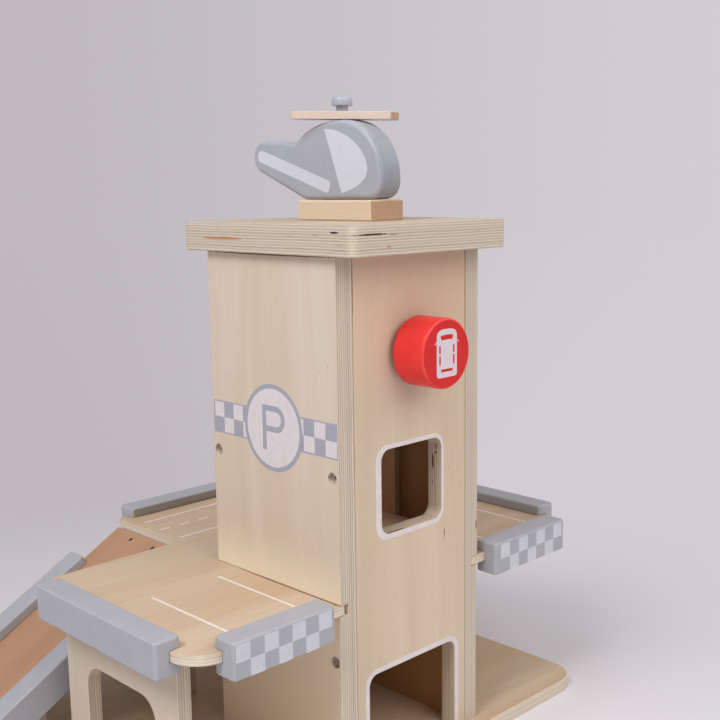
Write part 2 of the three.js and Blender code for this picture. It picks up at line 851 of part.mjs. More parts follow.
const knobBack = -knobStandOff;
const knobFront = knobBack - knobLength;
const boreRadius = shaftRadius + slackFit;
addPiece(
  "lift_knob",
  turned(
    [
      [0, knobFront],
      ...quarterTurn(knobRadius, knobFront + knobFrontRadius, knobFrontRadius, -Math.PI / 2),
      ...quarterTurn(knobRadius, knobBack - knobBackRadius, knobBackRadius, 0),
      [boreRadius, knobBack],
      [boreRadius, knobBack - knobBoreDepth],
      [0, knobBack - knobBoreDepth],
    ],
    knobSides,
  ),
  "redPaint",
  knobAxis,
);

// A plain ring between two places, closed on itself
function ringProfile(inner, outer, from, to) {
  return [
    [inner, from],
    [outer, from],
    [outer, to],
    [inner, to],
    [inner, from],
  ];
}

addPiece(
  "knob_washer",
  turned(ringProfile(shaftRadius + shaftPlay, washerRadius, knobBack + slackFit, -slackFit)),
  "felt",
  knobAxis,
);
addPiece(
  "knob_shaft",
  turned(
    [
      [0, knobBack - knobBoreDepth + slackFit],
      [shaftRadius, knobBack - knobBoreDepth + slackFit],
      [shaftRadius, backPanelFront + shaftSeatDepth],
      [0, backPanelFront + shaftSeatDepth],
    ],
    roundSides,
  ),
  "beech",
  knobAxis,
);
const collarFrom = frontPanelThickness + slackFit;
addPiece(
  "shaft_collar",
  turned(ringProfile(boreRadius, collarRadius, collarFrom, collarFrom + collarLength), roundSides),
  "beech",
  knobAxis,
);
const grooveFront = drumCentreBack - drumGrooveWidth / 2;
const grooveBack = drumCentreBack + drumGrooveWidth / 2;
addPiece(
  "cord_drum",
  turned([
    [boreRadius, grooveFront - drumFlangeThickness],
    [drumFlangeRadius, grooveFront - drumFlangeThickness],
    [drumFlangeRadius, grooveFront],
    [drumCoreRadius, grooveFront],
    [drumCoreRadius, grooveBack],
    [drumFlangeRadius, grooveBack],
    [drumFlangeRadius, grooveBack + drumFlangeThickness],
    [boreRadius, grooveBack + drumFlangeThickness],
    [boreRadius, grooveFront - drumFlangeThickness],
  ]),
  "beech",
  knobAxis,
);
addPiece(
  "cord_winding",
  turned(
    ringProfile(drumCoreRadius + slackFit, windingRadius, grooveFront + slackFit, grooveBack - slackFit),
  ),
  "cord",
  knobAxis,
);

// Helicopter: landing block, body, pin and rotor

const helicopter = new THREE.Group();
helicopter.position.set(towerMiddle, 0, roofTop);
garage.add(helicopter);

function bevelled(shape, depth, radius, bevelSegments, curveSegments) {
  return new THREE.ExtrudeGeometry(shape, {
    depth: depth - 2 * radius,
    bevelEnabled: true,
    bevelThickness: radius,
    bevelSize: radius,
    bevelOffset: -radius,
    bevelSegments,
    curveSegments,
  }).translate(0, 0, radius);
}

const blockShape = roundedShape(-blockWidth / 2, blockStart, blockWidth / 2, blockEnd, blockEdgeRadius);
const blockSolid = bevelled(blockShape, blockHeight, blockEdgeRadius, blockEdgeSteps, blockEdgeSteps);
addPiece("helicopter_block", blockSolid, "beech", helicopter);

const bodyTop = canopyCentreHeight + canopyRadius;

function bodyShape() {
  const floor = blockHeight + slackFit;
  const noseBack = canopyCentreBack - canopyRadius;
  const underTail = Math.atan2(tailCentreHeight - tailRadius - floor, tailCentreBack - bellyBack);
  const shape = new THREE.Shape();
  shape.moveTo(bellyFront, floor);
  shape.lineTo(bellyBack, floor);
  shape.absarc(tailCentreBack, tailCentreHeight, tailRadius, underTail - Math.PI / 2, Math.PI / 2);
  shape.lineTo(tailTopFront, tailTopHeight);
  shape.quadraticCurveTo((tailTopFront + notchBack) / 2, tailTopHeight, notchBack, notchHeight);
  const run = notchBack - canopyCentreBack;
  const rise = bodyTop - notchHeight;
  shape.bezierCurveTo(
    notchBack - humpRunShares[0] * run,
    notchHeight + humpRiseShare * rise,
    canopyCentreBack + humpRunShares[1] * run,
    bodyTop,
    canopyCentreBack,
    bodyTop,
  );
  shape.absarc(canopyCentreBack, canopyCentreHeight, canopyRadius, Math.PI / 2, Math.PI);
  shape.quadraticCurveTo(noseBack, floor, bellyFront, floor);
  return shape;
}

// The outline is drawn in y and z, and the body's thickness runs along x
const bodySolid = bevelled(bodyShape(), bodyThickness, bodyEdgeRadius, bodyEdgeSteps, outlineSteps)
  .applyMatrix4(
    new THREE.Matrix4().makeBasis(
      new THREE.Vector3(0, 1, 0),
      new THREE.Vector3(0, 0, 1),
      new THREE.Vector3(1, 0, 0),
    ),
  )
  .translate(-bodyThickness / 2, 0, 0);
const pinSeat = cylinderAlongZ(
  pinRadius + pinPlay,
  bodyTop - pinSeatDepth,
  bodyTop + overrun,
  0,
  pinBack,
);
addPiece("helicopter_body", cutAway(bodySolid, [pinSeat]), "greyPaint", helicopter);

function pinProfile() {
  const foot = bodyTop - pinSeatDepth + pinPlay;
  const profile = [
    [0, foot],
    [pinRadius, foot],
    [pinRadius, pinCapBottom],
    [pinCapRadius, pinCapBottom],
  ];
  for (let step = 0; step < pinCapSteps; step += 1) {
    const angle = (step / pinCapSteps) * (Math.PI / 2);
    const place = pinCapSide + (pinCapHeight - pinCapSide) * Math.sin(angle);
    profile.push([pinCapRadius * Math.cos(angle), pinCapBottom + place]);
  }
  profile.push([0, pinCapBottom + pinCapHeight]);
  return profile;
}

const pin = turned(pinProfile(), roundSides).rotateX(Math.PI / 2);
addPiece("rotor_pin", pin.translate(0, pinBack, 0), "greyPaint", helicopter);

const rotorPlane = new THREE.Group();
rotorPlane.position.set(0, pinBack, rotorHeight);
rotorPlane.rotation.z = rotorTurn;
helicopter.add(rotorPlane);
const bladeShape = roundedShape(
  -rotorWidth / 2,
  -rotorLength / 2 - rotorShift,
  rotorWidth / 2,
  rotorLength / 2 - rotorShift,
  rotorCornerRadius,
);
const rotorBore = new THREE.Path();
rotorBore.absarc(0, 0, pinRadius + rotorBorePlay, 0, 2 * Math.PI);
bladeShape.holes.push(rotorBore);
const blade = addPiece("rotor_blade", extruded(bladeShape, rotorThickness), "beech", rotorPlane);
blade.rotation.x = rotorLean;

// Stand the garage on the ground, with its origin under the middle of its outline
const outlineLeft = rampTopX - (rampTopZ - ground) / Math.tan(rampSlope) + rampNose / Math.tan(rampSlope);
const outlineRight = rightKerbLine + kerbWidth;
const outlineBack = backKerbLine + kerbWidth;
const outlineFront = knobFront;
garage.position.set(-(outlineLeft + outlineRight) / 2, -(outlineFront + outlineBack) / 2, -ground);

export default garage;
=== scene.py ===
import math

import bmesh
import bpy
from mathutils import Matrix, Vector


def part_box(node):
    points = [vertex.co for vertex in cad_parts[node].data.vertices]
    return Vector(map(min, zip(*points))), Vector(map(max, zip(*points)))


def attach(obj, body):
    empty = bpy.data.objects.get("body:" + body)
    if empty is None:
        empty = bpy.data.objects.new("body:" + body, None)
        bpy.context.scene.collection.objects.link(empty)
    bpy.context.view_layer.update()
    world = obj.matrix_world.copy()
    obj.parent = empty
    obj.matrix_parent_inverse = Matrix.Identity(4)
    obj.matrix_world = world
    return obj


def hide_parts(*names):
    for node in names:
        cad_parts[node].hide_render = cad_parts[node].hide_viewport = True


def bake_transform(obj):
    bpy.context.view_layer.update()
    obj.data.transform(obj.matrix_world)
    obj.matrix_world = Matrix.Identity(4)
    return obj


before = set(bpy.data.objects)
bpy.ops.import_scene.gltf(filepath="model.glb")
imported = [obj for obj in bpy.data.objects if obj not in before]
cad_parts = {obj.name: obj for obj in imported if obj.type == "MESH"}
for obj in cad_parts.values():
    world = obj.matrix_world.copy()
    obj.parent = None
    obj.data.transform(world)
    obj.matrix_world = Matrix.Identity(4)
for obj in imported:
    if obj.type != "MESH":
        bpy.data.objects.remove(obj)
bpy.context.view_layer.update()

# Places and sizes are in millimetres, measured from the tower's front left corner at the deck's top:
# x runs right, y runs back and z runs up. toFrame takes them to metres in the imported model's frame.
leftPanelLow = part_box("tower_left_panel")[0]
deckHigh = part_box("deck_plate")[1]
towerCorner = Vector((leftPanelLow.x, leftPanelLow.y, deckHigh.z))
toFrame = Matrix.Translation(towerCorner) @ Matrix.Scale(0.001, 4)
toMillimetres = toFrame.inverted()

tower = {"width": 120.0, "depth": 114.5, "board": 12.0}
ground = -119.0


def boxOf(node):
    low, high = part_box(node)
    return toMillimetres @ low, toMillimetres @ high


def linearShare(value):
    share = value / 255
    return share / 12.92 if share <= 0.04045 else ((share + 0.055) / 1.055) ** 2.4


def colour(red, green, blue):
    return (linearShare(red), linearShare(green), linearShare(blue), 1.0)


# Small helpers for node trees

def addNode(tree, kind, inputs=None, **settings):
    node = tree.nodes.new(kind)
    for name, value in settings.items():
        setattr(node, name, value)
    for key, value in (inputs or {}).items():
        if isinstance(value, bpy.types.NodeSocket):
            tree.links.new(value, node.inputs[key])
        else:
            node.inputs[key].default_value = value
    return node


def calc(tree, operation, *values, clamp=False):
    node = addNode(tree, "ShaderNodeMath", dict(enumerate(values)), operation=operation)
    node.use_clamp = clamp
    return node.outputs[0]


def times(tree, first, second):
    return calc(tree, "MULTIPLY", first, second)


def vectorCalc(tree, operation, *values):
    node = addNode(tree, "ShaderNodeVectorMath", dict(enumerate(values)), operation=operation)
    return node.outputs["Value" if operation in ("DOT_PRODUCT", "LENGTH") else "Vector"]


def splitAxes(tree, vector):
    return addNode(tree, "ShaderNodeSeparateXYZ", {0: vector}).outputs


def joinAxes(tree, **parts):
    return addNode(tree, "ShaderNodeCombineXYZ", parts).outputs[0]


def remap(tree, value, low, high, newLow=0.0, newHigh=1.0):
    sockets = {"Value": value, "From Min": low, "From Max": high, "To Min": newLow, "To Max": newHigh}
    return addNode(tree, "ShaderNodeMapRange", sockets, interpolation_type="SMOOTHSTEP").outputs["Result"]


def blend(tree, share, first, second, mode="MIX"):
    node = addNode(tree, "ShaderNodeMix", {0: share, 6: first, 7: second}, data_type="RGBA")
    node.blend_type = mode
    return node.outputs[2]


def blendValue(tree, share, first, second):
    return addNode(tree, "ShaderNodeMix", {0: share, 2: first, 3: second}).outputs[0]


# One written colour over another, by a share of a mask
def layOver(tree, base, mask, share, tint):
    return blend(tree, times(tree, mask, share), base, colour(*tint))


def between(tree, share, look, first, second):
    return blend(tree, share, colour(*look[first]), colour(*look[second]))


def noiseAt(tree, vector, stretch, detail=2.0, rough=0.5, warp=0.0):
    scaled = vectorCalc(tree, "MULTIPLY", vector, stretch)
    sockets = {"Vector": scaled, "Scale": 1.0, "Detail": detail, "Roughness": rough, "Distortion": warp}
    return addNode(tree, "ShaderNodeTexNoise", sockets).outputs[0]


# Noise settings are stretch, detail, roughness and warp. A span is where a mask starts and where it is full.
def noiseMask(tree, vector, settings, span):
    return remap(tree, noiseAt(tree, vector, *settings), *span)


vectorSockets = ("Vector", "Normal", "Centre", "Reach")
colourSockets = ("Main", "Deep", "Worn", "Colour")


def newGroup(name, inputs, outputs):
    tree = bpy.data.node_groups.new(name, "ShaderNodeTree")
    for side, labels in (("INPUT", inputs), ("OUTPUT", outputs)):
        for label in labels:
            kind = "Vector" if label in vectorSockets else "Color" if label in colourSockets else "Float"
            tree.interface.new_socket(label, in_out=side, socket_type=f"NodeSocket{kind}")
    return tree, tree.nodes.new("NodeGroupInput").outputs, tree.nodes.new("NodeGroupOutput").inputs


def addGroup(tree, group, **inputs):
    return addNode(tree, "ShaderNodeGroup", inputs, node_tree=group).outputs


# Grain of a sliced veneer or a planed stick: x runs along the grain, in metres
grainNoise = {
    "swirl": ((7, 22, 22), 1.0),
    "fineFibre": ((36, 1900, 1900), 3.0, 0.65),
    "longFibre": ((9, 420, 420), 2.0, 0.55),
    "bands": ((3.5, 46, 46), 2.5, 0.5, 0.3),
    "flecks": ((230, 900, 900), 1.0),
    "patches": ((28, 90, 90), 1.0),
}
grainSpans = {"fibre": (0.32, 0.68), "bands": (0.22, 0.78), "flecks": (0.71, 0.77), "patches": (0.52, 0.62)}
grainShares = {"swirlReach": 0.02, "fine": 0.55, "long": 0.45}
tree, given, made = newGroup("woodGrain", ["Vector", "Seed"], ["Fibre", "Bands", "Flecks"])
moved = vectorCalc(tree, "ADD", given["Vector"], given["Seed"])
swirl = noiseAt(tree, moved, *grainNoise["swirl"])
bent = vectorCalc(tree, "ADD", moved, joinAxes(tree, Y=times(tree, swirl, grainShares["swirlReach"])))
fineFibre = noiseAt(tree, bent, *grainNoise["fineFibre"])
longFibre = times(tree, noiseAt(tree, bent, *grainNoise["longFibre"]), grainShares["long"])
fibre = calc(tree, "MULTIPLY_ADD", fineFibre, grainShares["fine"], longFibre)
tree.links.new(remap(tree, fibre, *grainSpans["fibre"]), made["Fibre"])
tree.links.new(noiseMask(tree, bent, grainNoise["bands"], grainSpans["bands"]), made["Bands"])
fleck = noiseMask(tree, moved, grainNoise["flecks"], grainSpans["flecks"])
patch = noiseMask(tree, moved, grainNoise["patches"], grainSpans["patches"])
tree.links.new(times(tree, fleck, patch), made["Flecks"])
grainGroup = tree

# The layers that show on a plywood board's edge: z runs through the board, in metres
layerNoise = {
    "wave": ((38, 38, 90), 2.0),
    "ripple": ((210, 210, 500), 1.0),
    "streaks": ((160, 160, 2600), 2.0, 0.6),
    "gapRuns": ((55, 55, 620), 1.0),
}
layerSpans = {"glue": (0.34, 0.5), "gapRuns": (0.7, 0.74), "gapCore": (0.42, 0.22)}
layerShifts = {"wave": 0.0011, "ripple": 0.0003}
toneShares = {"odd": 0.52, "chance": 0.26, "streaks": 0.28}
tree, given, made = newGroup("veneerLayers", ["Vector", "Layer", "Seed"], ["Tone", "Warmth", "Glue", "Gap"])
moved = vectorCalc(tree, "ADD", given["Vector"], given["Seed"])
depth = splitAxes(tree, given["Vector"])["Z"]
for name, shift in layerShifts.items():
    swing = calc(tree, "SUBTRACT", noiseAt(tree, moved, *layerNoise[name]), 0.5)
    depth = calc(tree, "MULTIPLY_ADD", swing, shift, depth)
place = calc(tree, "DIVIDE", depth, given["Layer"])
index = calc(tree, "FLOOR", place)
layerSeed = {"W": calc(tree, "ADD", index, given["Seed"])}
chance = addNode(tree, "ShaderNodeTexWhiteNoise", layerSeed, noise_dimensions="1D").outputs
odd = calc(tree, "PINGPONG", index, 1.0)
fromMiddle = calc(tree, "ABSOLUTE", calc(tree, "SUBTRACT", calc(tree, "FRACT", place), 0.5))
streaks = noiseAt(tree, moved, *layerNoise["streaks"])
tone = times(tree, chance[0], toneShares["chance"])
tone = calc(tree, "MULTIPLY_ADD", odd, toneShares["odd"], tone)
tone = calc(tree, "ADD", tone, times(tree, streaks, toneShares["streaks"]), clamp=True)
tree.links.new(tone, made["Tone"])
warmth = addNode(tree, "ShaderNodeSeparateColor", {0: chance[1]}).outputs[1]
tree.links.new(warmth, made["Warmth"])
tree.links.new(remap(tree, fromMiddle, *layerSpans["glue"]), made["Glue"])
gapRun = noiseMask(tree, moved, layerNoise["gapRuns"], layerSpans["gapRuns"])
gapCore = remap(tree, fromMiddle, *layerSpans["gapCore"])
tree.links.new(times(tree, gapRun, gapCore), made["Gap"])
veneerGroup = tree

# Rubbed edges: a mask where a face turns from one side of the piece to the next
rubNoise = ((260, 260, 260), 3.0, 0.6)
rubSpans = {"rim": (0.985, 0.8), "patches": (0.3, 0.62)}
tree, given, made = newGroup("rubbedEdge", ["Vector", "Normal", "Round"], ["Mask"])
parts = splitAxes(tree, vectorCalc(tree, "ABSOLUTE", given["Normal"]))
flatSide = calc(tree, "MAXIMUM", parts["X"], parts["Y"])
squares = calc(tree, "MULTIPLY_ADD", parts["X"], parts["X"], times(tree, parts["Y"], parts["Y"]))
side = blendValue(tree, given["Round"], flatSide, calc(tree, "SQRT", squares))
rim = remap(tree, calc(tree, "MAXIMUM", side, parts["Z"]), *rubSpans["rim"])
patchy = noiseMask(tree, given["Vector"], rubNoise, rubSpans["patches"])
tree.links.new(times(tree, rim, patchy), made["Mask"])
rubGroup = tree

# One long soft mark in the wood, such as a knot, a gap or a line of painted shade, at a place in the board's
# own directions
markRag = {"noise": ((700, 700, 700), 2.0, 0.6), "share": 0.7, "span": (1.32, 1.12), "seedStep": 0.37}
tree, given, made = newGroup("woodMark", ["Vector", "Centre", "Reach", "Seed"], ["Mask"])
fromCentre = vectorCalc(tree, "SUBTRACT", given["Vector"], given["Centre"])
away = vectorCalc(tree, "LENGTH", vectorCalc(tree, "DIVIDE", fromCentre, given["Reach"]))
moved = vectorCalc(tree, "ADD", given["Vector"], given["Seed"])
ragged = noiseAt(tree, moved, *markRag["noise"])
away = calc(tree, "MULTIPLY_ADD", ragged, markRag["share"], away)
tree.links.new(remap(tree, away, *markRag["span"]), made["Mask"])
markGroup = tree


# Board directions: along the grain, across it and through the board
def boardAxes(look):
    along = Vector(look["grain"]).normalized()
    through = Vector(look["through"]).normalized()
    return along, through.cross(along), through


# Object coordinates and normals in a board's directions
def boardVectors(tree, look):
    turn = Matrix(boardAxes(look)).transposed().to_euler()
    origin = toFrame @ Vector(look["origin"])
    coordinates = addNode(tree, "ShaderNodeTexCoord").outputs
    place = {"Vector": coordinates["Object"], "Location": origin, "Rotation": turn}
    where = addNode(tree, "ShaderNodeMapping", place, vector_type="TEXTURE").outputs[0]
    facing = {"Vector": coordinates["Normal"], "Rotation": turn}
    return where, addNode(tree, "ShaderNodeMapping", facing, vector_type="TEXTURE").outputs[0]


def rubbedMask(tree, look, where, facing):
    return addGroup(tree, rubGroup, Vector=where, Normal=facing, Round=look.get("round", 0.0))["Mask"]


def newMaterial(name):
    material = bpy.data.materials.new(name)
    material.use_nodes = True
    tree = material.node_tree
    tree.nodes.clear()
    shader = tree.nodes.new("ShaderNodeBsdfPrincipled")
    output = tree.nodes.new("ShaderNodeOutputMaterial")
    tree.links.new(shader.outputs[0], output.inputs["Surface"])
    return material, tree, shader


def addRelief(tree, shader, height, depth, strength):
    bump = addNode(tree, "ShaderNodeBump", {"Strength": strength, "Distance": depth / 1000, "Height": height})
    tree.links.new(bump.outputs[0], shader.inputs["Normal"])


def roughAt(tree, mask, surface):
    return calc(tree, "MULTIPLY_ADD", mask, surface["roughChange"], surface["rough"])


# What the woods, inks and cloths end with: colour, roughness, gloss and relief
def closeFinish(tree, shader, tone, rough, surface, height):
    tree.links.new(tone, shader.inputs["Base Color"])
    tree.links.new(rough, shader.inputs["Roughness"])
    shader.inputs["Specular IOR Level"].default_value = surface["gloss"]
    addRelief(tree, shader, height, surface["relief"], surface["reliefStrength"])


# Each mark is its place, its reach along, across and through the board, its colour and its strength
def layMarks(tree, base, where, look, marks):
    for number, (place, reach, tint, strength) in enumerate(marks):
        away = Vector(place) - Vector(look["origin"])
        centre = [away.dot(axis) / 1000 for axis in boardAxes(look)]
        reached = [length / 1000 for length in reach]
        sockets = {"Vector": where, "Centre": centre, "Reach": reached, "Seed": number * markRag["seedStep"]}
        base = layOver(tree, base, addGroup(tree, markGroup, **sockets)["Mask"], strength, tint)
    return base


# Plywood: sliced face veneers, and the stacked layers wherever a face doesn't look through the board
plySurface = {
    "faceSpan": (0.62, 0.78),
    "insideShadeSpan": (0.5, 0.7),
    "fleckShare": 0.75,
    "warmShare": 0.45,
    "glueShare": 0.3,
    "rubShare": 0.35,
    "rough": 0.52,
    "roughChange": 0.12,
    "faceSmoother": -0.04,
    "gloss": 0.32,
    "gapDepth": 3.0,
    "relief": 0.06,
    "reliefStrength": 0.5,
}


def plywood(name, look):
    material, tree, shader = newMaterial(name)
    where, facing = boardVectors(tree, look)
    grain = addGroup(tree, grainGroup, Vector=where, Seed=look["seed"])
    layers = addGroup(tree, veneerGroup, Vector=where, Layer=look["layer"] / 1000, Seed=look["seed"])
    face = between(tree, grain["Bands"], look, "faceDark", "faceLight")
    face = layOver(tree, face, grain["Fibre"], look["fibre"], look["faceFibre"])
    face = layOver(tree, face, grain["Flecks"], plySurface["fleckShare"], look["fleck"])
    # drift lays a colour in along the grain: painted light at the left panel's foot, painted shade at the top
    # of the front and back panels
    if "drift" in look:
        drift = look["drift"]
        share = remap(tree, splitAxes(tree, where)["X"], drift["from"] / 1000, drift["to"] / 1000)
        face = layOver(tree, face, share, drift["share"], drift["colour"])
    edge = between(tree, layers["Tone"], look, "edgeDark", "edgeLight")
    edge = layOver(tree, edge, layers["Warmth"], plySurface["warmShare"], look["edgeWarm"])
    edge = layOver(tree, edge, layers["Glue"], plySurface["glueShare"], look["glue"])
    gap = times(tree, layers["Gap"], look.get("gaps", 0.0))
    edge = blend(tree, gap, edge, colour(*look["gapColour"]))
    edge = layMarks(tree, edge, where, look, look.get("edgeMarks", []))
    face = layMarks(tree, face, where, look, look.get("faceMarks", []))
    throughShare = splitAxes(tree, facing)["Z"]
    # Painted shade: a side panel's inner faces are tinted darker and warmer, as in the shaded inside of the
    # tower
    if "inside" in look:
        inner = remap(tree, times(tree, throughShare, look["inside"]), *plySurface["insideShadeSpan"])
        face = blend(tree, inner, face, colour(*look["insideShadeTint"]), "MULTIPLY")
    isFace = remap(tree, calc(tree, "ABSOLUTE", throughShare), *plySurface["faceSpan"])
    whole = blend(tree, isFace, edge, face)
    rubbed = rubbedMask(tree, look, where, facing)
    whole = layOver(tree, whole, rubbed, plySurface["rubShare"], look["rubbed"])
    edgeHeight = calc(tree, "SUBTRACT", layers["Tone"], times(tree, gap, plySurface["gapDepth"]))
    height = blendValue(tree, isFace, edgeHeight, grain["Fibre"])
    rough = roughAt(tree, grain["Fibre"], plySurface)
    rough = calc(tree, "MULTIPLY_ADD", isFace, plySurface["faceSmoother"], rough)
    closeFinish(tree, shader, whole, rough, plySurface, height)
    return material


# Solid beech: pale, with short brown rays, and darker end grain
beechSurface = {
    "rays": ((480, 2100, 2600), 1.0),
    "raySpan": (0.58, 0.7),
    "pores": ((60, 260, 2400), 2.0, 0.6),
    "poreTurn": 0.7,
    "endSpan": (0.6, 0.8),
    "fibreShare": 0.22,
    "rayShare": 0.25,
    "rubShare": 0.3,
    "rough": 0.44,
    "roughChange": 0.14,
    "gloss": 0.35,
    "relief": 0.04,
    "reliefStrength": 0.45,
}


def beechWood(name, look):
    material, tree, shader = newMaterial(name)
    where, facing = boardVectors(tree, look)
    grain = addGroup(tree, grainGroup, Vector=where, Seed=look["seed"])
    rays = noiseMask(tree, where, beechSurface["rays"], beechSurface["raySpan"])
    wood = between(tree, grain["Bands"], look, "dark", "light")
    wood = layOver(tree, wood, grain["Fibre"], beechSurface["fibreShare"], look["fibre"])
    wood = layOver(tree, wood, rays, beechSurface["rayShare"], look["ray"])
    turned = {"Vector": where, "Rotation": (beechSurface["poreTurn"], 0, 0)}
    slanted = addNode(tree, "ShaderNodeMapping", turned).outputs[0]
    pores = noiseAt(tree, slanted, *beechSurface["pores"])
    isEnd = remap(tree, calc(tree, "ABSOLUTE", splitAxes(tree, facing)["X"]), *beechSurface["endSpan"])
    wood = blend(tree, isEnd, wood, between(tree, pores, look, "endDark", "endLight"))
    rubbed = rubbedMask(tree, look, where, facing)
    wood = layOver(tree, wood, rubbed, beechSurface["rubShare"], look["light"])
    rough = roughAt(tree, grain["Fibre"], beechSurface)
    closeFinish(tree, shader, wood, rough, beechSurface, calc(tree, "ADD", grain["Fibre"], rays))
    return material


# Sprayed paint over wood: soft mottle, fine skin and the wood's fibre faintly under it
paintNoise = {
    "mottle": ((70, 90, 90), 3.0, 0.55),
    "skin": ((1100, 1100, 1100), 2.0, 0.6),
    "under": ((40, 900, 900), 2.0, 0.6),
}
paintSurface = {
    "mottleSpan": (0.3, 0.7),
    "rubShare": 0.5,
    "rough": 0.36,
    "roughChange": 0.1,
    "skinRise": 0.5,
    "underRise": 0.6,
    "relief": 0.03,
    "reliefStrength": 0.4,
    "coatRough": 0.25,
}
tree, given, made = newGroup(
    "paintSkin",
    ["Vector", "Rubbed", "Main", "Deep", "Worn"],
    ["Colour", "Roughness", "Height"],
)
mottle = noiseMask(tree, given["Vector"], paintNoise["mottle"], paintSurface["mottleSpan"])
skin = noiseAt(tree, given["Vector"], *paintNoise["skin"])
under = times(tree, noiseAt(tree, given["Vector"], *paintNoise["under"]), paintSurface["underRise"])
painted = blend(tree, mottle, given["Deep"], given["Main"])
painted = blend(tree, times(tree, given["Rubbed"], paintSurface["rubShare"]), painted, given["Worn"])
tree.links.new(painted, made["Colour"])
tree.links.new(roughAt(tree, mottle, paintSurface), made["Roughness"])
heights = calc(tree, "MULTIPLY_ADD", skin, paintSurface["skinRise"], under)
tree.links.new(heights, made["Height"])
paintGroup = tree


# frontTint is multiplied in where a face looks against backAxis, over frontSpan; on the back kerb and the
# helicopter's nose it is painted shade
def paint(name, look):
    material, tree, shader = newMaterial(name)
    where, facing = boardVectors(tree, look)
    rubbed = rubbedMask(tree, look, where, facing)
    colours = {"Main": colour(*look["main"]), "Deep": colour(*look["deep"]), "Worn": colour(*look["worn"])}
    skin = addGroup(tree, paintGroup, Vector=where, Rubbed=rubbed, **colours)
    painted = skin["Colour"]
    if "frontTint" in look:
        forwards = times(tree, splitAxes(tree, facing)[look["backAxis"]], -1.0)
        frontShare = remap(tree, forwards, *look["frontSpan"])
        painted = blend(tree, frontShare, painted, colour(*look["frontTint"]), "MULTIPLY")
    tree.links.new(painted, shader.inputs["Base Color"])
    tree.links.new(skin["Roughness"], shader.inputs["Roughness"])
    shader.inputs["Specular IOR Level"].default_value = look["gloss"]
    shader.inputs["Coat Weight"].default_value = look.get("coat", 0.0)
    shader.inputs["Coat Roughness"].default_value = look.get("coatRough", paintSurface["coatRough"])
    addRelief(tree, shader, skin["Height"], paintSurface["relief"], paintSurface["reliefStrength"])
    return material


# Printed ink: flat, a little thin over the wood's fibre
inkSurface = {"rough": 0.5, "roughChange": 0.1, "gloss": 0.3, "relief": 0.02, "reliefStrength": 0.3}
inkThin = {"noise": ((180, 180, 180), 3.0, 0.6), "span": (0.3, 0.75)}


def ink(name, look):
    material, tree, shader = newMaterial(name)
    where, _ = boardVectors(tree, look)
    fibre = addGroup(tree, grainGroup, Vector=where, Seed=look["seed"])["Fibre"]
    thin = noiseMask(tree, where, inkThin["noise"], inkThin["span"])
    printed = between(tree, thin, look, "main", "thin")
    printed = layOver(tree, printed, fibre, look["show"], look["under"])
    closeFinish(tree, shader, printed, roughAt(tree, fibre, inkSurface), inkSurface, fibre)
    return material


steelSurface = {
    "cloud": ((900, 900, 900), 3.0, 0.6),
    "roughChange": 0.25,
    "skin": ((2600, 2600, 2600), 2.0),
    "relief": 0.02,
    "reliefStrength": 0.3,
}


def steelFinish(name, look):
    material, tree, shader = newMaterial(name)
    where = addNode(tree, "ShaderNodeTexCoord").outputs["Object"]
    cloud = noiseAt(tree, where, *steelSurface["cloud"])
    tree.links.new(between(tree, cloud, look, "dark", "light"), shader.inputs["Base Color"])
    shader.inputs["Metallic"].default_value = 1.0
    tree.links.new(roughAt(tree, cloud, {**steelSurface, **look}), shader.inputs["Roughness"])
    skin = noiseAt(tree, where, *steelSurface["skin"])
    addRelief(tree, shader, skin, steelSurface["relief"], steelSurface["reliefStrength"])
    return material


clothSurface = {"rough": 0.86, "roughChange": 0.1, "gloss": 0.15, "relief": 0.12, "reliefStrength": 0.7}
hairSpan = (0.3, 0.7)


def clothFinish(name, look):
    material, tree, shader = newMaterial(name)
    where = addNode(tree, "ShaderNodeTexCoord").outputs["Object"]
    hairs = noiseAt(tree, where, *look["hairs"])
    cloth = between(tree, remap(tree, hairs, *hairSpan), look, "dark", "light")
    shader.inputs["Sheen Weight"].default_value = look["sheen"]
    closeFinish(tree, shader, cloth, roughAt(tree, hairs, clothSurface), clothSurface, hairs)
    return material


# Finishes. Each plywood look names its grain, the direction through the board and where layers start.
birchLook = {
    "faceLight": (221, 206, 189),
    "faceDark": (212, 194, 172),
    "faceFibre": (204, 185, 162),
    "fibre": 0.26,
    "fleck": (150, 112, 74),
    "edgeLight": (227, 217, 203),
    "edgeDark": (166, 150, 131),
    "edgeWarm": (206, 183, 152),
    "glue": (160, 146, 118),
    "gapColour": (48, 36, 26),
    "rubbed": (231, 219, 198),
    "insideShadeTint": (214, 174, 130),
    "layer": 0.8,
    "grain": (0, 0, 1),
    "through": (1, 0, 0),
    "origin": (0, 0, -110),
    "seed": 0.0,
}
print("node groups and finishes ready")


# Painted light: the left panel is made paler towards its foot, standing in for light thrown up from the deck
paintedDeckBounce = {"from": 146.0, "to": 104.0, "colour": (243, 227, 199), "share": 1.0}
# Painted shade: a dark line along the left panel's top, under the roof's overhang
paintedRoofShade = [((0, 57, 196.7), (1.1, 66, 3), (92, 66, 46), 0.85)]
leftPanelLook = {**birchLook, "seed": 1.3, "inside": 1.0, "drift": paintedDeckBounce}
leftPanelPly = plywood("left_panel_ply", {**leftPanelLook, "faceMarks": paintedRoofShade, "edgeMarks": paintedRoofShade})
edgeGap = ((119.0, 0, 20.6), (3.2, 3, 0.5), (56, 40, 30), 0.95)
rightPanelLook = {**birchLook, "seed": 4.1, "inside": -1.0, "origin": (108, 0, -110), "edgeMarks": [edgeGap]}
rightPanelPly = plywood("right_panel_ply", rightPanelLook)
supportPly = plywood("support_ply", {**birchLook, "seed": 6.7, "origin": (-200, 0, -110)})

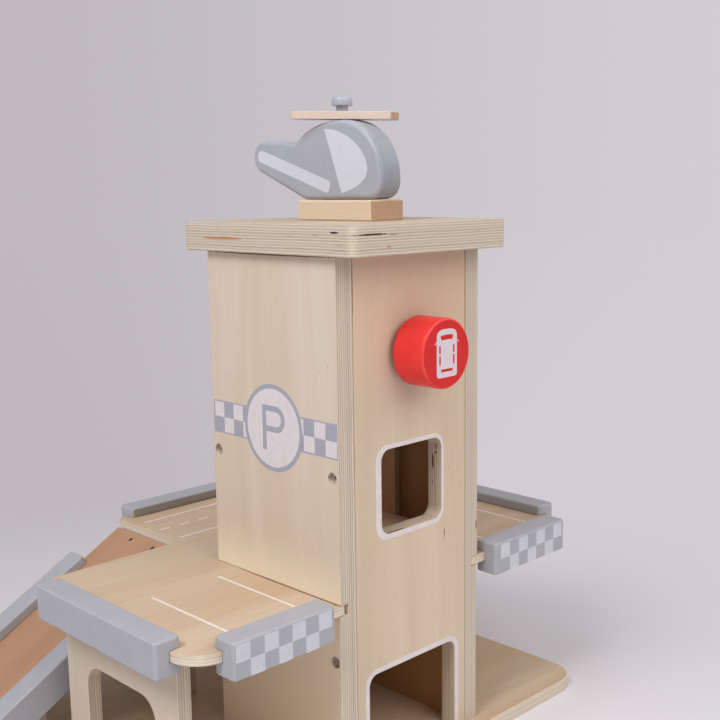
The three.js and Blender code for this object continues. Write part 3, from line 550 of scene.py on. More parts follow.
frontLook = {
    **birchLook,
    "faceLight": (219, 201, 177),
    "faceDark": (211, 190, 164),
    "faceFibre": (200, 175, 147),
    # Painted shade: the front and back panels turn warmer towards the top, as in the shade under the roof
    "drift": {"from": 110.0, "to": 185.0, "colour": (219, 184, 158), "share": 0.55},
    "edgeLight": (235, 219, 199),
    "edgeDark": (163, 142, 120),
    "through": (0, 1, 0),
    "origin": (0, 0, 0),
    "layer": 0.82,
    "gaps": 0.5,
}
# A knot by the window, then painted shade along the joints with the side panels
frontMarks = [
    ((88.3, 0, 22.9), (3.1, 0.6, 3), (128, 90, 60), 0.8),
    ((87.7, 0, 19.6), (1.6, 0.45, 3), (150, 110, 78), 0.6),
    ((12.2, 0, 180), (26, 0.55, 3), (88, 62, 46), 0.85),
    ((12.1, 0, 112), (74, 0.36, 3), (120, 92, 70), 0.7),
    ((107.7, 0, 166), (40, 0.55, 3), (178, 112, 66), 0.8),
    ((107.7, 0, 196), (7, 0.6, 3), (92, 58, 36), 0.8),
]
# Gaps in the veneers at the window's right side, then the line along its sill
windowMarks = [
    ((85.5, 6.8, 67.5), (5.4, 2, 0.85), (92, 40, 18), 0.95),
    ((85.5, 4.1, 77.0), (2.2, 2, 0.5), (104, 56, 30), 0.85),
    ((85.5, 4.3, 73.1), (0.8, 2, 0.75), (80, 36, 18), 0.9),
    ((85.5, 7.0, 54.0), (1.0, 2, 0.55), (96, 52, 28), 0.8),
    ((85.5, 4.9, 50.0), (16.0, 2, 0.35), (138, 92, 60), 0.6),
    ((45, 1.2, 33.4), (3, 11.5, 0.9), (70, 50, 36), 0.9),
]
frontPanelLook = {**frontLook, "seed": 2.2, "faceMarks": frontMarks, "edgeMarks": windowMarks, "gaps": 0.0}
frontPanelPly = plywood("front_panel_ply", frontPanelLook)
backPanelPly = plywood("back_panel_ply", {**frontLook, "seed": 5.5, "origin": (0, 103.5, 0)})

roofMarks = [
    ((9.5, -19, 208.8), (12.5, 3, 0.62), (46, 34, 20), 0.97),
    ((25.5, -19, 208.3), (4.5, 3, 0.3), (96, 78, 52), 0.7),
    ((-3.4, -17.6, 208.7), (2.2, 1.8, 0.4), (70, 52, 34), 0.8),
    ((-5, -4.5, 210.0), (3, 3.6, 0.72), (44, 30, 18), 0.97),
    ((-5, 10.2, 208.4), (3, 2.6, 0.3), (104, 84, 60), 0.6),
    ((-5, 92, 205.0), (3, 21.5, 0.95), (186, 128, 82), 0.85),
    ((22, -19, 201.7), (2.2, 3, 0.9), (176, 134, 96), 0.6),
]
roofLook = {
    **birchLook,
    "faceLight": (202, 185, 166),
    "faceDark": (190, 171, 149),
    "grain": (1, 0, 0),
    "through": (0, 0, 1),
    "origin": (0, 0, 197),
    "seed": 8.4,
    "edgeMarks": roofMarks,
    "gaps": 0.25,
}
roofPly = plywood("roof_ply", roofLook)

deckLook = {
    **birchLook,
    "faceLight": (211, 190, 165),
    "faceDark": (201, 172, 142),
    "faceFibre": (187, 155, 122),
    "fibre": 0.3,
    "edgeLight": (236, 225, 208),
    "edgeDark": (200, 183, 161),
    "grain": (1, 0, 0),
    "through": (0, 0, 1),
    "origin": (0, 0, -6),
    "layer": 0.86,
    "seed": 3.6,
}
# Painted shade along the joints at the left panel's foot and under the back kerb
deckJointShade = [
    ((-0.2, 42, 0), (0.8, 56, 3), (146, 94, 62), 0.75),
    ((114, 229.9, 0), (112, 0.9, 3), (104, 62, 40), 0.8),
]
deckPly = plywood("deck_ply", {**deckLook, "faceMarks": deckJointShade})
basePly = plywood("base_ply", {**deckLook, "origin": (0, 0, ground), "layer": 0.9, "seed": 9.2})
laneSupportPly = plywood("lane_support_ply", {**birchLook, "seed": 7.7, "origin": (4.9, 0, -110)})

slope = math.radians(29)
rampLook = {
    **deckLook,
    "grain": (math.cos(slope), 0, math.sin(slope)),
    "through": (-math.sin(slope), 0, math.cos(slope)),
    "origin": (4.3, 0, -13.5),
    "faceLight": (186, 141, 111),
    "faceDark": (169, 124, 95),
    "seed": 11.0,
}
rampPly = plywood("ramp_ply", rampLook)

cabinLook = {
    **birchLook,
    "faceLight": (216, 168, 118),
    "faceDark": (202, 152, 102),
    "edgeLight": (196, 172, 142),
    "edgeDark": (134, 108, 82),
    "layer": 0.85,
}
# Painted light: the cabin floor is made paler than the wood, standing in for light that comes in through the
# window
cabinFloorPaintedLight = {
    **cabinLook,
    "faceLight": (249, 215, 177),
    "faceDark": (240, 202, 163),
    "grain": (1, 0, 0),
    "through": (0, 0, 1),
    "origin": (0, 0, 13.7),
    "seed": 12.0,
}
cabinFloorPly = plywood("cabin_floor_ply", cabinFloorPaintedLight)
cabinWallPly = plywood("cabin_wall_ply", {**cabinLook, "origin": (13.2, 0, 0), "seed": 13.0})

beechLook = {
    "light": (233, 213, 187),
    "dark": (221, 196, 167),
    "fibre": (203, 169, 132),
    "ray": (181, 138, 100),
    "endLight": (205, 170, 141),
    "endDark": (168, 130, 102),
    "grain": (0, 1, 0),
    "through": (0, 0, 1),
    "origin": (60, 0, 214),
    "seed": 2.0,
}
blockBeech = beechWood("block_beech", beechLook)
rotorTurn = Matrix.Rotation(math.radians(23), 4, "Z")
rotorLean = Matrix.Rotation(math.radians(2.3), 4, "X")
rotorPlace = Matrix.Translation((60, 55.6, 273.6)) @ rotorTurn @ rotorLean
rotorLook = {
    **beechLook,
    "light": (225, 208, 193),
    "dark": (214, 193, 177),
    "ray": (196, 160, 126),
    "grain": rotorPlace.to_3x3() @ Vector((0, 1, 0)),
    "through": rotorPlace.to_3x3() @ Vector((0, 0, 1)),
    "origin": rotorPlace.translation,
    "seed": 5.0,
}
rotorBeech = beechWood("rotor_beech", rotorLook)
innerBeech = beechWood("inner_beech", {**beechLook, "seed": 7.0, "origin": (60, 0, 140), "round": 1.0})
dowelBeech = beechWood("dowel_beech", {**beechLook, "grain": (0, 0, 1), "through": (1, 0, 0), "seed": 9.0})
hangerBeech = beechWood("cross_beech", {**beechLook, "grain": (1, 0, 0), "seed": 10.0, "origin": (0, 0, 80)})
cleatBeech = beechWood("cleat_beech", {**beechLook, "seed": 10.5, "origin": (0, 170, -30)})

greyLook = {
    "main": (176, 178, 186),
    "deep": (171, 173, 181),
    "worn": (184, 185, 191),
    "gloss": 0.3,
    "grain": (1, 0, 0),
    "through": (0, 0, 1),
    "origin": (0, 0, 0),
}
kerbLook = {**greyLook, "main": (174, 174, 180), "deep": (169, 169, 175), "worn": (183, 182, 187)}
kerbPaintAcross = paint("kerb_paint_across", kerbLook)
kerbPaintBack = paint("kerb_paint_back", {**kerbLook, "grain": (0, 1, 0)})
# Painted shade: the back kerb's faces that look to the front are darkened and warmed, as in the tower's shade
farKerbShade = {"frontTint": (225, 213, 198), "frontSpan": (0.7, 0.98), "backAxis": "Y"}
kerbPaintFar = paint("kerb_paint_far", {**kerbLook, **farKerbShade})
rampPaint = paint("kerb_paint_ramp", {**kerbLook, "grain": rampLook["grain"], "through": rampLook["through"]})
helicopterLook = {
    **greyLook,
    # Painted shade on the body's nose band, which looks to the front
    "frontTint": (224, 224, 225),
    "frontSpan": (0.3, 0.85),
    "backAxis": "X",
    "grain": (0, 1, 0),
    "through": (1, 0, 0),
    "coat": 0.25,
    "coatRough": 0.06,
    "gloss": 0.08,
}
helicopterPaint = paint("helicopter_paint", helicopterLook)
pinPaint = paint("pin_paint", {**greyLook, "round": 1.0, "coat": 0.3, "coatRough": 0.1, "gloss": 0.2})
knobLook = {
    **greyLook,
    "main": (240, 64, 59),
    "deep": (234, 56, 52),
    "worn": (245, 98, 92),
    "frontTint": (228, 196, 198),
    "frontSpan": (0.88, 0.98),
    "backAxis": "Z",
    "through": (0, 1, 0),
    "round": 1.0,
    "gloss": 0.06,
    "coat": 0.3,
    "coatRough": 0.07,
}
knobPaint = paint("knob_paint", knobLook)

whiteInk = {
    "main": (226, 219, 222),
    "thin": (219, 211, 213),
    "under": (205, 190, 176),
    "show": 0.16,
    "grain": (0, 0, 1),
    "through": (1, 0, 0),
    "origin": (0, 0, 0),
    "seed": 3.0,
}
lineInk = {
    **whiteInk,
    "main": (238, 231, 228),
    "thin": (230, 220, 214),
    "under": (222, 200, 178),
    "show": 0.3,
    "grain": (1, 0, 0),
    "through": (0, 0, 1),
}
paleInk = {**whiteInk, "main": (208, 210, 219), "thin": (202, 204, 212), "under": (188, 189, 196)}
signWhite = ink("sign_white", whiteInk)
ringWhite = ink("ring_white", {**whiteInk, "main": (231, 221, 219), "through": (0, 1, 0), "seed": 4.0})
signGrey = ink("sign_grey", {**whiteInk, "main": (165, 167, 182), "thin": (158, 160, 174)})
lineWhite = ink("line_white", lineInk)
kerbPale = ink("kerb_pale", {**paleInk, "grain": (1, 0, 0), "through": (0, 1, 0)})
decalPale = ink("decal_pale", {**paleInk, "main": (216, 218, 226), "thin": (212, 214, 222), "show": 0.08})
knobSign = ink("knob_sign", {**whiteInk, "main": (226, 210, 219), "under": (214, 150, 150), "show": 0.1})

feltLook = {
    "light": (66, 60, 56), "dark": (36, 33, 31),
    "hairs": ((900, 900, 900), 4.0, 0.7, 0.6), "sheen": 0.3,
}
cottonLook = {
    "light": (232, 226, 212), "dark": (196, 188, 170),
    "hairs": ((2400, 2400, 900), 4.0, 0.7, 0.6), "sheen": 0.2,
}
screwSteel = steelFinish("screw_steel", {"light": (236, 231, 222), "dark": (188, 182, 170), "rough": 0.4})
nailSteel = steelFinish("nail_steel", {"light": (120, 112, 104), "dark": (60, 54, 50), "rough": 0.35})
washerFelt = clothFinish("washer_felt", feltLook)
cordCotton = clothFinish("cord_cotton", cottonLook)
print("materials ready")

# Mesh helpers. Shapes are drawn in millimetres and taken to the frame by matrix when a piece is finished.
nodeSpot = 1e-6
drawnSpot = 1e-5
flatWithin = 0.6
sharpAbove = 32
onPlane = 0.01
easedShare = 0.15


def linkObject(name, data):
    thing = bpy.data.objects.new(name, data)
    bpy.context.scene.collection.objects.link(thing)
    return thing


def plainMesh(shape):
    mesh = bpy.data.meshes.new("shape")
    shape.to_mesh(mesh)
    shape.free()
    return mesh


def meshFrom(shape, place=Matrix()):
    mesh = plainMesh(shape)
    mesh.transform(toFrame @ place)
    return mesh


def coatMesh(mesh, material):
    mesh.materials.clear()
    mesh.materials.append(material)


def settled(holder, name):
    bpy.context.view_layer.update()
    seen = holder.evaluated_get(bpy.context.evaluated_depsgraph_get())
    mesh = bpy.data.meshes.new_from_object(seen)
    mesh.name = name
    old = holder.data
    bpy.data.objects.remove(holder)
    if old.users == 0:
        bpy.data.meshes.remove(old)
    return mesh


def addBevel(holder, width, steps, sharpest):
    bevel = holder.modifiers.new("edges", "BEVEL")
    bevel.width = width / 1000
    bevel.segments = steps
    bevel.limit_method = "ANGLE"
    bevel.angle_limit = math.radians(sharpest)
    return bevel


def cutAway(holder, cutter, name):
    cut = holder.modifiers.new("cut", "BOOLEAN")
    cut.operation = "DIFFERENCE"
    cut.solver = "EXACT"
    cut.object = cutter
    mesh = settled(holder, name)
    bpy.data.objects.remove(cutter)
    return mesh


def finishPiece(name, mesh, material, body, slot, replaced=(), edge=0.0, edgeSteps=2, sharpest=sharpAbove):
    holder = linkObject("holder", mesh)
    mesh.shade_smooth()
    if edge:
        bevel = addBevel(holder, edge, edgeSteps, sharpest)
        if "bevel_weight_edge" in mesh.attributes:
            bevel.limit_method = "WEIGHT"
        bevel.use_clamp_overlap = False
        bevel.miter_outer = "MITER_ARC"
    else:
        mesh.set_sharp_from_angle(angle=math.radians(sharpest))
    normals = holder.modifiers.new("normals", "WEIGHTED_NORMAL")
    normals.keep_sharp = True
    normals.weight = 100
    finished = settled(holder, name)
    coatMesh(finished, material)
    piece = linkObject(name, finished)
    if replaced:
        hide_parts(*replaced)
    if body:
        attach(piece, body)
    return piece


def mergeFlat(shape):
    limit = math.radians(flatWithin)
    bmesh.ops.dissolve_limit(shape, angle_limit=limit, verts=shape.verts[:], edges=shape.edges[:])


# The edges of a panel's outer face are well rounded and all others only eased
def weighEdges(shape, outerX):
    weights = shape.edges.layers.float.new("bevel_weight_edge")
    highest = max((toMillimetres @ vert.co).z for vert in shape.verts)
    deepest = max((toMillimetres @ vert.co).y for vert in shape.verts)
    rims = (("y", 0), ("y", deepest), ("z", highest))
    for edge in shape.edges:
        if len(edge.link_faces) != 2 or edge.calc_face_angle() < math.radians(sharpAbove):
            continue
        ends = [toMillimetres @ vert.co for vert in edge.verts]
        onFace = all(abs(end.x - outerX) < onPlane for end in ends)
        onRim = any(all(abs(getattr(end, axis) - place) < onPlane for end in ends) for axis, place in rims)
        edge[weights] = 1.0 if onFace and onRim else easedShare


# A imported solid's own shape with softened edges
def dressNode(node, material, body, slot, edge, edgeSteps=2, outerX=None):
    shape = bmesh.new()
    shape.from_mesh(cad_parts[node].data)
    bmesh.ops.remove_doubles(shape, verts=shape.verts[:], dist=nodeSpot)
    mergeFlat(shape)
    if outerX is not None:
        weighEdges(shape, outerX)
    finishPiece(f"{node}_dressed", plainMesh(shape), material, body, slot, [node], edge, edgeSteps)


def slab(loops, low, high):
    shape = bmesh.new()
    edges = []
    for loop in loops:
        corners = [shape.verts.new((x, y, low)) for x, y in loop]
        edges += [shape.edges.new((corners[i - 1], corners[i])) for i in range(len(corners))]
    bmesh.ops.triangle_fill(shape, use_beauty=True, use_dissolve=False, edges=edges)
    raised = bmesh.ops.extrude_face_region(shape, geom=shape.faces[:])["geom"]
    tops = [part for part in raised if isinstance(part, bmesh.types.BMVert)]
    bmesh.ops.translate(shape, verts=tops, vec=(0, 0, high - low))
    mergeFlat(shape)
    bmesh.ops.recalc_face_normals(shape, faces=shape.faces[:])
    return shape


def arc(centreX, centreY, radius, start, end, steps):
    points = []
    for step in range(steps + 1):
        angle = math.radians(start + (end - start) * step / steps)
        points.append((centreX + radius * math.cos(angle), centreY + radius * math.sin(angle)))
    return points


def circle(radius, steps):
    return arc(0, 0, radius, 0, 360, steps)[:-1]


def roundedBox(x0, y0, x1, y1, radius, steps=8):
    if not radius:
        return [(x0, y0), (x1, y0), (x1, y1), (x0, y1)]
    left, low, right, high = x0 + radius, y0 + radius, x1 - radius, y1 - radius
    points = []
    for number, (x, y) in enumerate([(right, low), (right, high), (left, high), (left, low)]):
        points += arc(x, y, radius, 90 * number - 90, 90 * number, steps)
    return points


def bezier(points, steps):
    made = []
    degree = len(points) - 1
    for step in range(1, steps + 1):
        t = step / steps
        x = y = 0.0
        for number, (px, py) in enumerate(points):
            share = math.comb(degree, number) * t**number * (1 - t) ** (degree - number)
            x += share * px
            y += share * py
        made.append((x, y))
    return made


# Faces between rings of points. A ring may be one point.
def joinRings(shape, rings, steps):
    for first, second in zip(rings, rings[1:]):
        for step in range(steps):
            after = (step + 1) % steps
            around = (first, step), (first, after), (second, after), (second, step)
            corners = [ring[spot % len(ring)] for ring, spot in around]
            shape.faces.new(list(dict.fromkeys(corners)))


# A shape turned about z from pairs of radius and height
def turnedShape(profile, steps):
    shape = bmesh.new()
    rings = []
    for radius, height in profile:
        angles = [2 * math.pi * step / steps for step in range(steps if radius else 1)]
        spots = [(radius * math.cos(angle), radius * math.sin(angle), height) for angle in angles]
        rings.append([shape.verts.new(spot) for spot in spots])
    joinRings(shape, rings, steps)
    bmesh.ops.remove_doubles(shape, verts=shape.verts[:], dist=drawnSpot)
    bmesh.ops.recalc_face_normals(shape, faces=shape.faces[:])
    return shape


def quarter(outer, centre, radius, start, steps):
    return [(outer - radius + x, centre + y) for x, y in arc(0, 0, radius, start, start + 90, steps)]


def at(x, y, z):
    return Matrix.Translation((x, y, z))


# Directions for outlines: drawn x goes to the front, to the back and to the right, and drawn y goes up
faceLeft = Matrix(((0, 0, -1, 0), (-1, 0, 0, 0), (0, 1, 0, 0), (0, 0, 0, 1)))
faceRight = Matrix(((0, 0, 1, 0), (1, 0, 0, 0), (0, 1, 0, 0), (0, 0, 0, 1)))
faceFront = Matrix(((1, 0, 0, 0), (0, 0, -1, 0), (0, 1, 0, 0), (0, 0, 0, 1)))
# A shape turned about z, laid along y
alongBack = Matrix(((1, 0, 0, 0), (0, 0, 1, 0), (0, -1, 0, 0), (0, 0, 0, 1)))

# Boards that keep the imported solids' shapes, each with its finish, slot and edge width
boards = {
    "base_board": (basePly, "deck_ply", 0.6),
    "deck_plate": (deckPly, "deck_ply", 0.4),
    "tower_left_panel": (leftPanelPly, "panel_ply", 1.6),
    "tower_right_panel": (rightPanelPly, "panel_ply", 1.6),
    "tower_front_panel": (frontPanelPly, "front_ply", 0.45),
    "tower_back_panel": (backPanelPly, "front_ply", 0.45),
    "roof_plate": (roofPly, "panel_ply", 0.7),
    "support_right": (supportPly, "panel_ply", 0.5),
    "support_left": (supportPly, "panel_ply", 0.5),
    "support_lane": (laneSupportPly, "panel_ply", 0.5),
    "ramp_board": (rampPly, "deck_ply", 0.25),
    "ramp_cleat": (cleatBeech, "beech", 0.4),
    "ramp_prop": (supportPly, "panel_ply", 0.5),
}
outerFaces = {"tower_left_panel": 0.0, "tower_right_panel": tower["width"]}
for node, (finish, slot, edge) in boards.items():
    outerX = outerFaces.get(node)
    dressNode(node, finish, "root", slot, edge, 2 if outerX is None else 4, outerX)

cabinBoards = {
    "lift_floor": (cabinFloorPly, "front_ply", 0.35),
    "lift_wall_left": (cabinWallPly, "front_ply", 0.35),
    "lift_wall_right": (cabinWallPly, "front_ply", 0.35),
    "lift_hanger": (hangerBeech, "beech", 0.4),
}
for node, (finish, slot, edge) in cabinBoards.items():
    dressNode(node, finish, "lift", slot, edge)
print("boards ready")

# Kerbs: grooved bars with rounded ends and edges. A straight one has its turn and its finish.
kerb = {"width": 16.5, "height": 21.0, "rise": 6.7, "endRadius": 2.6}
kerbEdge = {"width": 1.5, "steps": 5, "bevelAbove": 40}
kerbGroove = {"lap": 7.5, "play": 0.4, "board": 6.0, "overrun": 4}
straightKerbs = {
    "kerb_front_left": (180, kerbPaintAcross),
    "kerb_front_right": (180, kerbPaintAcross),
    "kerb_back": (0, kerbPaintFar),
    "kerb_side_right": (-90, kerbPaintBack),
    "kerb_side_left": (90, kerbPaintBack),
}


def kerbPiece(node, length, place, finish):
    outline = roundedBox(0, 0, length, kerb["width"], kerb["endRadius"])
    bar = linkObject("bar", meshFrom(slab([outline], kerb["rise"] - kerb["height"], kerb["rise"]), place))
    addBevel(bar, kerbEdge["width"], kerbEdge["steps"], kerbEdge["bevelAbove"])
    overrun, play = kerbGroove["overrun"], kerbGroove["play"]
    grooveBox = roundedBox(-overrun, -overrun, length + overrun, kerbGroove["lap"], 0)
    groove = linkObject("groove", meshFrom(slab([grooveBox], -kerbGroove["board"] - play, play), place))
    finishPiece(f"{node}_dressed", cutAway(bar, groove, "kerb"), finish, "root", "grey_paint", [node])


for node, (turn, finish) in straightKerbs.items():
    low, high = boxOf(node)
    starts = {0: (low.x, low.y), 180: (high.x, high.y), -90: (low.x, high.y), 90: (high.x, low.y)}
    place = at(*starts[turn], 0) @ Matrix.Rotation(math.radians(turn), 4, "Z")
    kerbPiece(node, max(high.x - low.x, high.y - low.y), place, finish)

ramp = {"topX": 4.3, "topZ": -6.3, "front": 164.8, "back": 237.8}
rampKerb = {"start": 35.0, "footGap": 34.0, "lap": 7.2}
rampPlace = at(ramp["topX"], 0, ramp["topZ"]) @ Matrix.Rotation(-slope, 4, "Y")
rampLength = (ramp["topZ"] - ground) / math.sin(slope)
rampKerbLength = rampLength - rampKerb["start"] - rampKerb["footGap"]
turnedRound = Matrix.Rotation(math.pi, 4, "Z")
rampKerbs = {
    "ramp_kerb_front": at(-rampKerb["start"], ramp["front"] + rampKerb["lap"], 0) @ turnedRound,
    "ramp_kerb_back": at(-rampKerb["start"] - rampKerbLength, ramp["back"] - rampKerb["lap"], 0),
}
for node, matrix in rampKerbs.items():
    kerbPiece(node, rampKerbLength, rampPlace @ matrix, rampPaint)
print("kerbs ready")


# Geometry Nodes trees for what repeats

def newGeometryTree(name, wholes, values):
    tree = bpy.data.node_groups.new(name, "GeometryNodeTree")
    tree.is_modifier = True
    tree.interface.new_socket("Geometry", in_out="INPUT", socket_type="NodeSocketGeometry")
    tree.interface.new_socket("Geometry", in_out="OUTPUT", socket_type="NodeSocketGeometry")
    for kind, labels in (("Int", wholes), ("Float", values), ("Material", ["Material"])):
        for label in labels:
            tree.interface.new_socket(label, in_out="INPUT", socket_type=f"NodeSocket{kind}")
    return tree, tree.nodes.new("NodeGroupInput").outputs, tree.nodes.new("NodeGroupOutput").inputs


def closeTree(tree, geometry, given, made):
    real = addNode(tree, "GeometryNodeRealizeInstances", {"Geometry": geometry}).outputs[0]
    finished = addNode(tree, "GeometryNodeSetMaterial", {"Geometry": real, "Material": given["Material"]})
    tree.links.new(finished.outputs[0], made["Geometry"])


def lineOf(tree, count, **step):
    sockets = {"Count": count, "Offset": joinAxes(tree, **step)}
    return addNode(tree, "GeometryNodeMeshLine", sockets).outputs[0]


def cubeOf(tree, **sizes):
    return addNode(tree, "GeometryNodeMeshCube", {"Size": joinAxes(tree, **sizes)}).outputs[0]


def onPoints(tree, **sockets):
    return addNode(tree, "GeometryNodeInstanceOnPoints", sockets).outputs[0]


def shifted(tree, geometry, height):
    sockets = {"Geometry": geometry, "Translation": joinAxes(tree, Z=height)}
    return addNode(tree, "GeometryNodeTransform", sockets).outputs[0]


def grownMesh(tree, values, place=Matrix(), points=()):
    mesh = bpy.data.meshes.new("seed")
    mesh.from_pydata([seat for seat, _ in points], [], [])
    if points:
        facing = mesh.attributes.new("facing", "FLOAT_VECTOR", "POINT")
        for item, (_, direction) in zip(facing.data, points):
            item.vector = direction
    holder = linkObject("holder", mesh)
    modifier = holder.modifiers.new("grow", "NODES")
    modifier.node_group = tree
    for item in tree.interface.items_tree:
        if item.item_type == "SOCKET" and item.in_out == "INPUT" and item.name in values:
            modifier[item.identifier] = values[item.name]
    grown = settled(holder, "grown")
    grown.transform(toFrame @ place)
    return grown


# Tiles in columns and rows, every other one left out where Alternate is 1
tree, given, made = newGeometryTree(
    "tileRows",
    ["Columns", "Rows"],
    ["Pitch X", "Pitch Y", "Tile X", "Tile Y", "Thickness", "Alternate"],
)
columns = lineOf(tree, given["Columns"], X=given["Pitch X"])
rows = lineOf(tree, given["Rows"], Y=given["Pitch Y"])
lattice = onPoints(tree, Points=columns, Instance=rows)
lattice = addNode(tree, "GeometryNodeRealizeInstances", {"Geometry": lattice}).outputs[0]
spot = splitAxes(tree, addNode(tree, "GeometryNodeInputPosition").outputs[0])
column = calc(tree, "ROUND", calc(tree, "DIVIDE", spot["X"], given["Pitch X"]))
row = calc(tree, "ROUND", calc(tree, "DIVIDE", spot["Y"], given["Pitch Y"]))
isOdd = calc(tree, "MODULO", calc(tree, "ADD", column, row), 2.0)
keptTiles = calc(tree, "LESS_THAN", times(tree, isOdd, given["Alternate"]), 0.5)
tile = cubeOf(tree, X=given["Tile X"], Y=given["Tile Y"], Z=given["Thickness"])
closeTree(tree, onPoints(tree, Points=lattice, Selection=keptTiles, Instance=tile), given, made)
tileTree = tree

# Countersunk screws with a cross recess, one at each point, turned at random about its own length
tree, given, made = newGeometryTree(
    "crossHeadScrews",
    ["Seed"],
    ["Head Radius", "Head Height", "Shank Radius", "Length", "Slot Width", "Slot Length", "Slot Depth"],
)
mostSpin = 1.5
sides = {"Vertices": 40, "Side Segments": 1, "Fill Segments": 1}
headEnds = {"Radius Top": given["Head Radius"], "Radius Bottom": given["Shank Radius"]}
head = addNode(tree, "GeometryNodeMeshCone", {**sides, **headEnds, "Depth": given["Head Height"]})
head = shifted(tree, head.outputs["Mesh"], times(tree, given["Head Height"], -1.0))
shankLength = calc(tree, "SUBTRACT", given["Length"], given["Head Height"])
shankSockets = {**sides, "Radius": given["Shank Radius"], "Depth": shankLength}
shank = addNode(tree, "GeometryNodeMeshCylinder", shankSockets).outputs["Mesh"]
middle = times(tree, calc(tree, "ADD", given["Length"], given["Head Height"]), -0.5)
shank = shifted(tree, shank, middle)
doubled = times(tree, given["Slot Depth"], 2.0)
crossCut = addNode(tree, "GeometryNodeMeshBoolean", {"Mesh 1": head}, operation="DIFFERENCE")
for first, second in (("Slot Length", "Slot Width"), ("Slot Width", "Slot Length")):
    slotShape = cubeOf(tree, X=given[first], Y=given[second], Z=doubled)
    tree.links.new(slotShape, crossCut.inputs["Mesh 2"])
joined = addNode(tree, "GeometryNodeJoinGeometry")
tree.links.new(crossCut.outputs[0], joined.inputs[0])
tree.links.new(shank, joined.inputs[0])
facing = addNode(tree, "GeometryNodeInputNamedAttribute", {"Name": "facing"}, data_type="FLOAT_VECTOR")
aligned = addNode(tree, "FunctionNodeAlignRotationToVector", {"Vector": facing.outputs[0]}, axis="Z")
chance = addNode(tree, "FunctionNodeRandomValue", {"Seed": given["Seed"]}, data_type="FLOAT")
spin = joinAxes(tree, Z=times(tree, chance.outputs[1], mostSpin))
spun = addNode(tree, "FunctionNodeEulerToRotation", {0: spin})
turns = {0: aligned.outputs[0], 1: spun.outputs[0]}
turned = addNode(tree, "FunctionNodeRotateRotation", turns, rotation_space="LOCAL").outputs[0]
placed = onPoints(tree, Points=given["Geometry"], Instance=joined.outputs[0], Rotation=turned)
closeTree(tree, placed, given, made)
screwTree = tree

# Turns of cord beside each other, about z
tree, given, made = newGeometryTree("cordTurns", [], ["Turns", "Radius", "Cord Radius", "Width"])
radii = {"Start Radius": given["Radius"], "End Radius": given["Radius"]}
spiralSockets = {"Resolution": 40, "Rotations": given["Turns"], "Height": given["Width"], **radii}
spiral = addNode(tree, "GeometryNodeCurveSpiral", spiralSockets).outputs[0]
ring = addNode(tree, "GeometryNodeCurvePrimitiveCircle", {"Resolution": 12, "Radius": given["Cord Radius"]})
tube = {"Curve": spiral, "Profile Curve": ring.outputs[0], "Fill Caps": True}
closeTree(tree, addNode(tree, "GeometryNodeCurveToMesh", tube).outputs[0], given, made)
turnTree = tree
print("geometry trees ready")

# Prints are thin slabs that stand out by whole ink steps
inkStep = 0.05


def printOn(name, loops, level, place, material, slot, body="root"):
    mesh = meshFrom(slab(loops, -inkStep, inkStep * level), place)
    finishPiece(name, mesh, material, body, slot)


def tileRows(name, counts, pitch, tile, alternate, place, finish, slot):
    values = {
        "Columns": counts[0],
        "Rows": counts[1],
        "Pitch X": pitch[0],
        "Pitch Y": -pitch[1],
        "Tile X": tile[0],
        "Tile Y": tile[1],
        "Thickness": inkStep * 3,
        "Alternate": alternate,
        "Material": finish,
    }
    finishPiece(name, grownMesh(tileTree, values, place), finish, "root", slot)


# Printed sign on the left panel: checker band, roundel and letter
sign = {
    "centreBack": 55.7,
    "centreHeight": 94.7,
    "bandFront": 0.7,
    "bandBack": 112.4,
    "bandHalf": 10.2,
    "columns": 12,
    "column": 9.16,
    "firstBack": 111.1,
    "row": 9.3,
    "ring": 26.1,
    "disc": 23.5,
    "stroke": 3.4,
    "letterBack": 65.0,
    "letterFront": 44.8,
    "letterLow": 81.0,
    "letterHigh": 108.0,
    "bowlLow": 92.3,
}
signPlace = at(0, sign["centreBack"], sign["centreHeight"]) @ faceLeft
toFront = sign["centreBack"] - sign["bandFront"]
toBack = sign["bandBack"] - sign["centreBack"]
band = roundedBox(-toBack, -sign["bandHalf"], toFront, sign["bandHalf"], 0)
printOn("sign_band", [band], 1, signPlace, signGrey, "grey_paint")
firstTile = at(0, sign["firstBack"] - sign["column"] / 2, sign["centreHeight"] + sign["row"] / 2) @ faceLeft
square = (sign["column"], sign["row"])
onBand = firstTile @ at(0, 0, inkStep / 2)
tileRows("sign_squares", (sign["columns"], 2), square, square, 1.0, onBand, signWhite, "grey_paint")
printOn("sign_ring", [circle(sign["ring"], 96)], 3, signPlace, signGrey, "grey_paint")
printOn("sign_disc", [circle(sign["disc"], 96)], 4, signPlace, signWhite, "grey_paint")


def letterLoops():
    left = sign["centreBack"] - sign["letterBack"]
    right = sign["centreBack"] - sign["letterFront"]
    low, high, bowlLow = (sign[key] - sign["centreHeight"] for key in ("letterLow", "letterHigh", "bowlLow"))
    radius = (high - bowlLow) / 2
    inner = radius - sign["stroke"]
    middle = (high + bowlLow) / 2
    stem = left + sign["stroke"]
    outer = [(left, low), (stem, low), (stem, bowlLow)]
    outer += arc(right - radius, middle, radius, -90, 90, 20) + [(left, high)]
    hole = [(stem, middle - inner)] + arc(right - radius, middle, inner, -90, 90, 16)
    return [outer, hole + [(stem, middle + inner)]]


printOn("sign_letter", letterLoops(), 5, signPlace, signGrey, "grey_paint")

# Printed rings round the window and the ground door
window = {"box": (33.7, 33.4, 85.5, 83.8), "radius": 6.5, "lip": 0.35, "steps": 10}
windowRing = {"box": (28.9, 30.3, 87.8, 86.8), "radius": 9.0}
left, low, right, high = window["box"]
lip = window["lip"]
inside = roundedBox(left - lip, low - lip, right + lip, high + lip, window["radius"] + lip, window["steps"])
outside = roundedBox(*windowRing["box"], windowRing["radius"], window["steps"])
printOn("window_ring", [outside, inside], 2, faceFront, ringWhite, "front_ply")

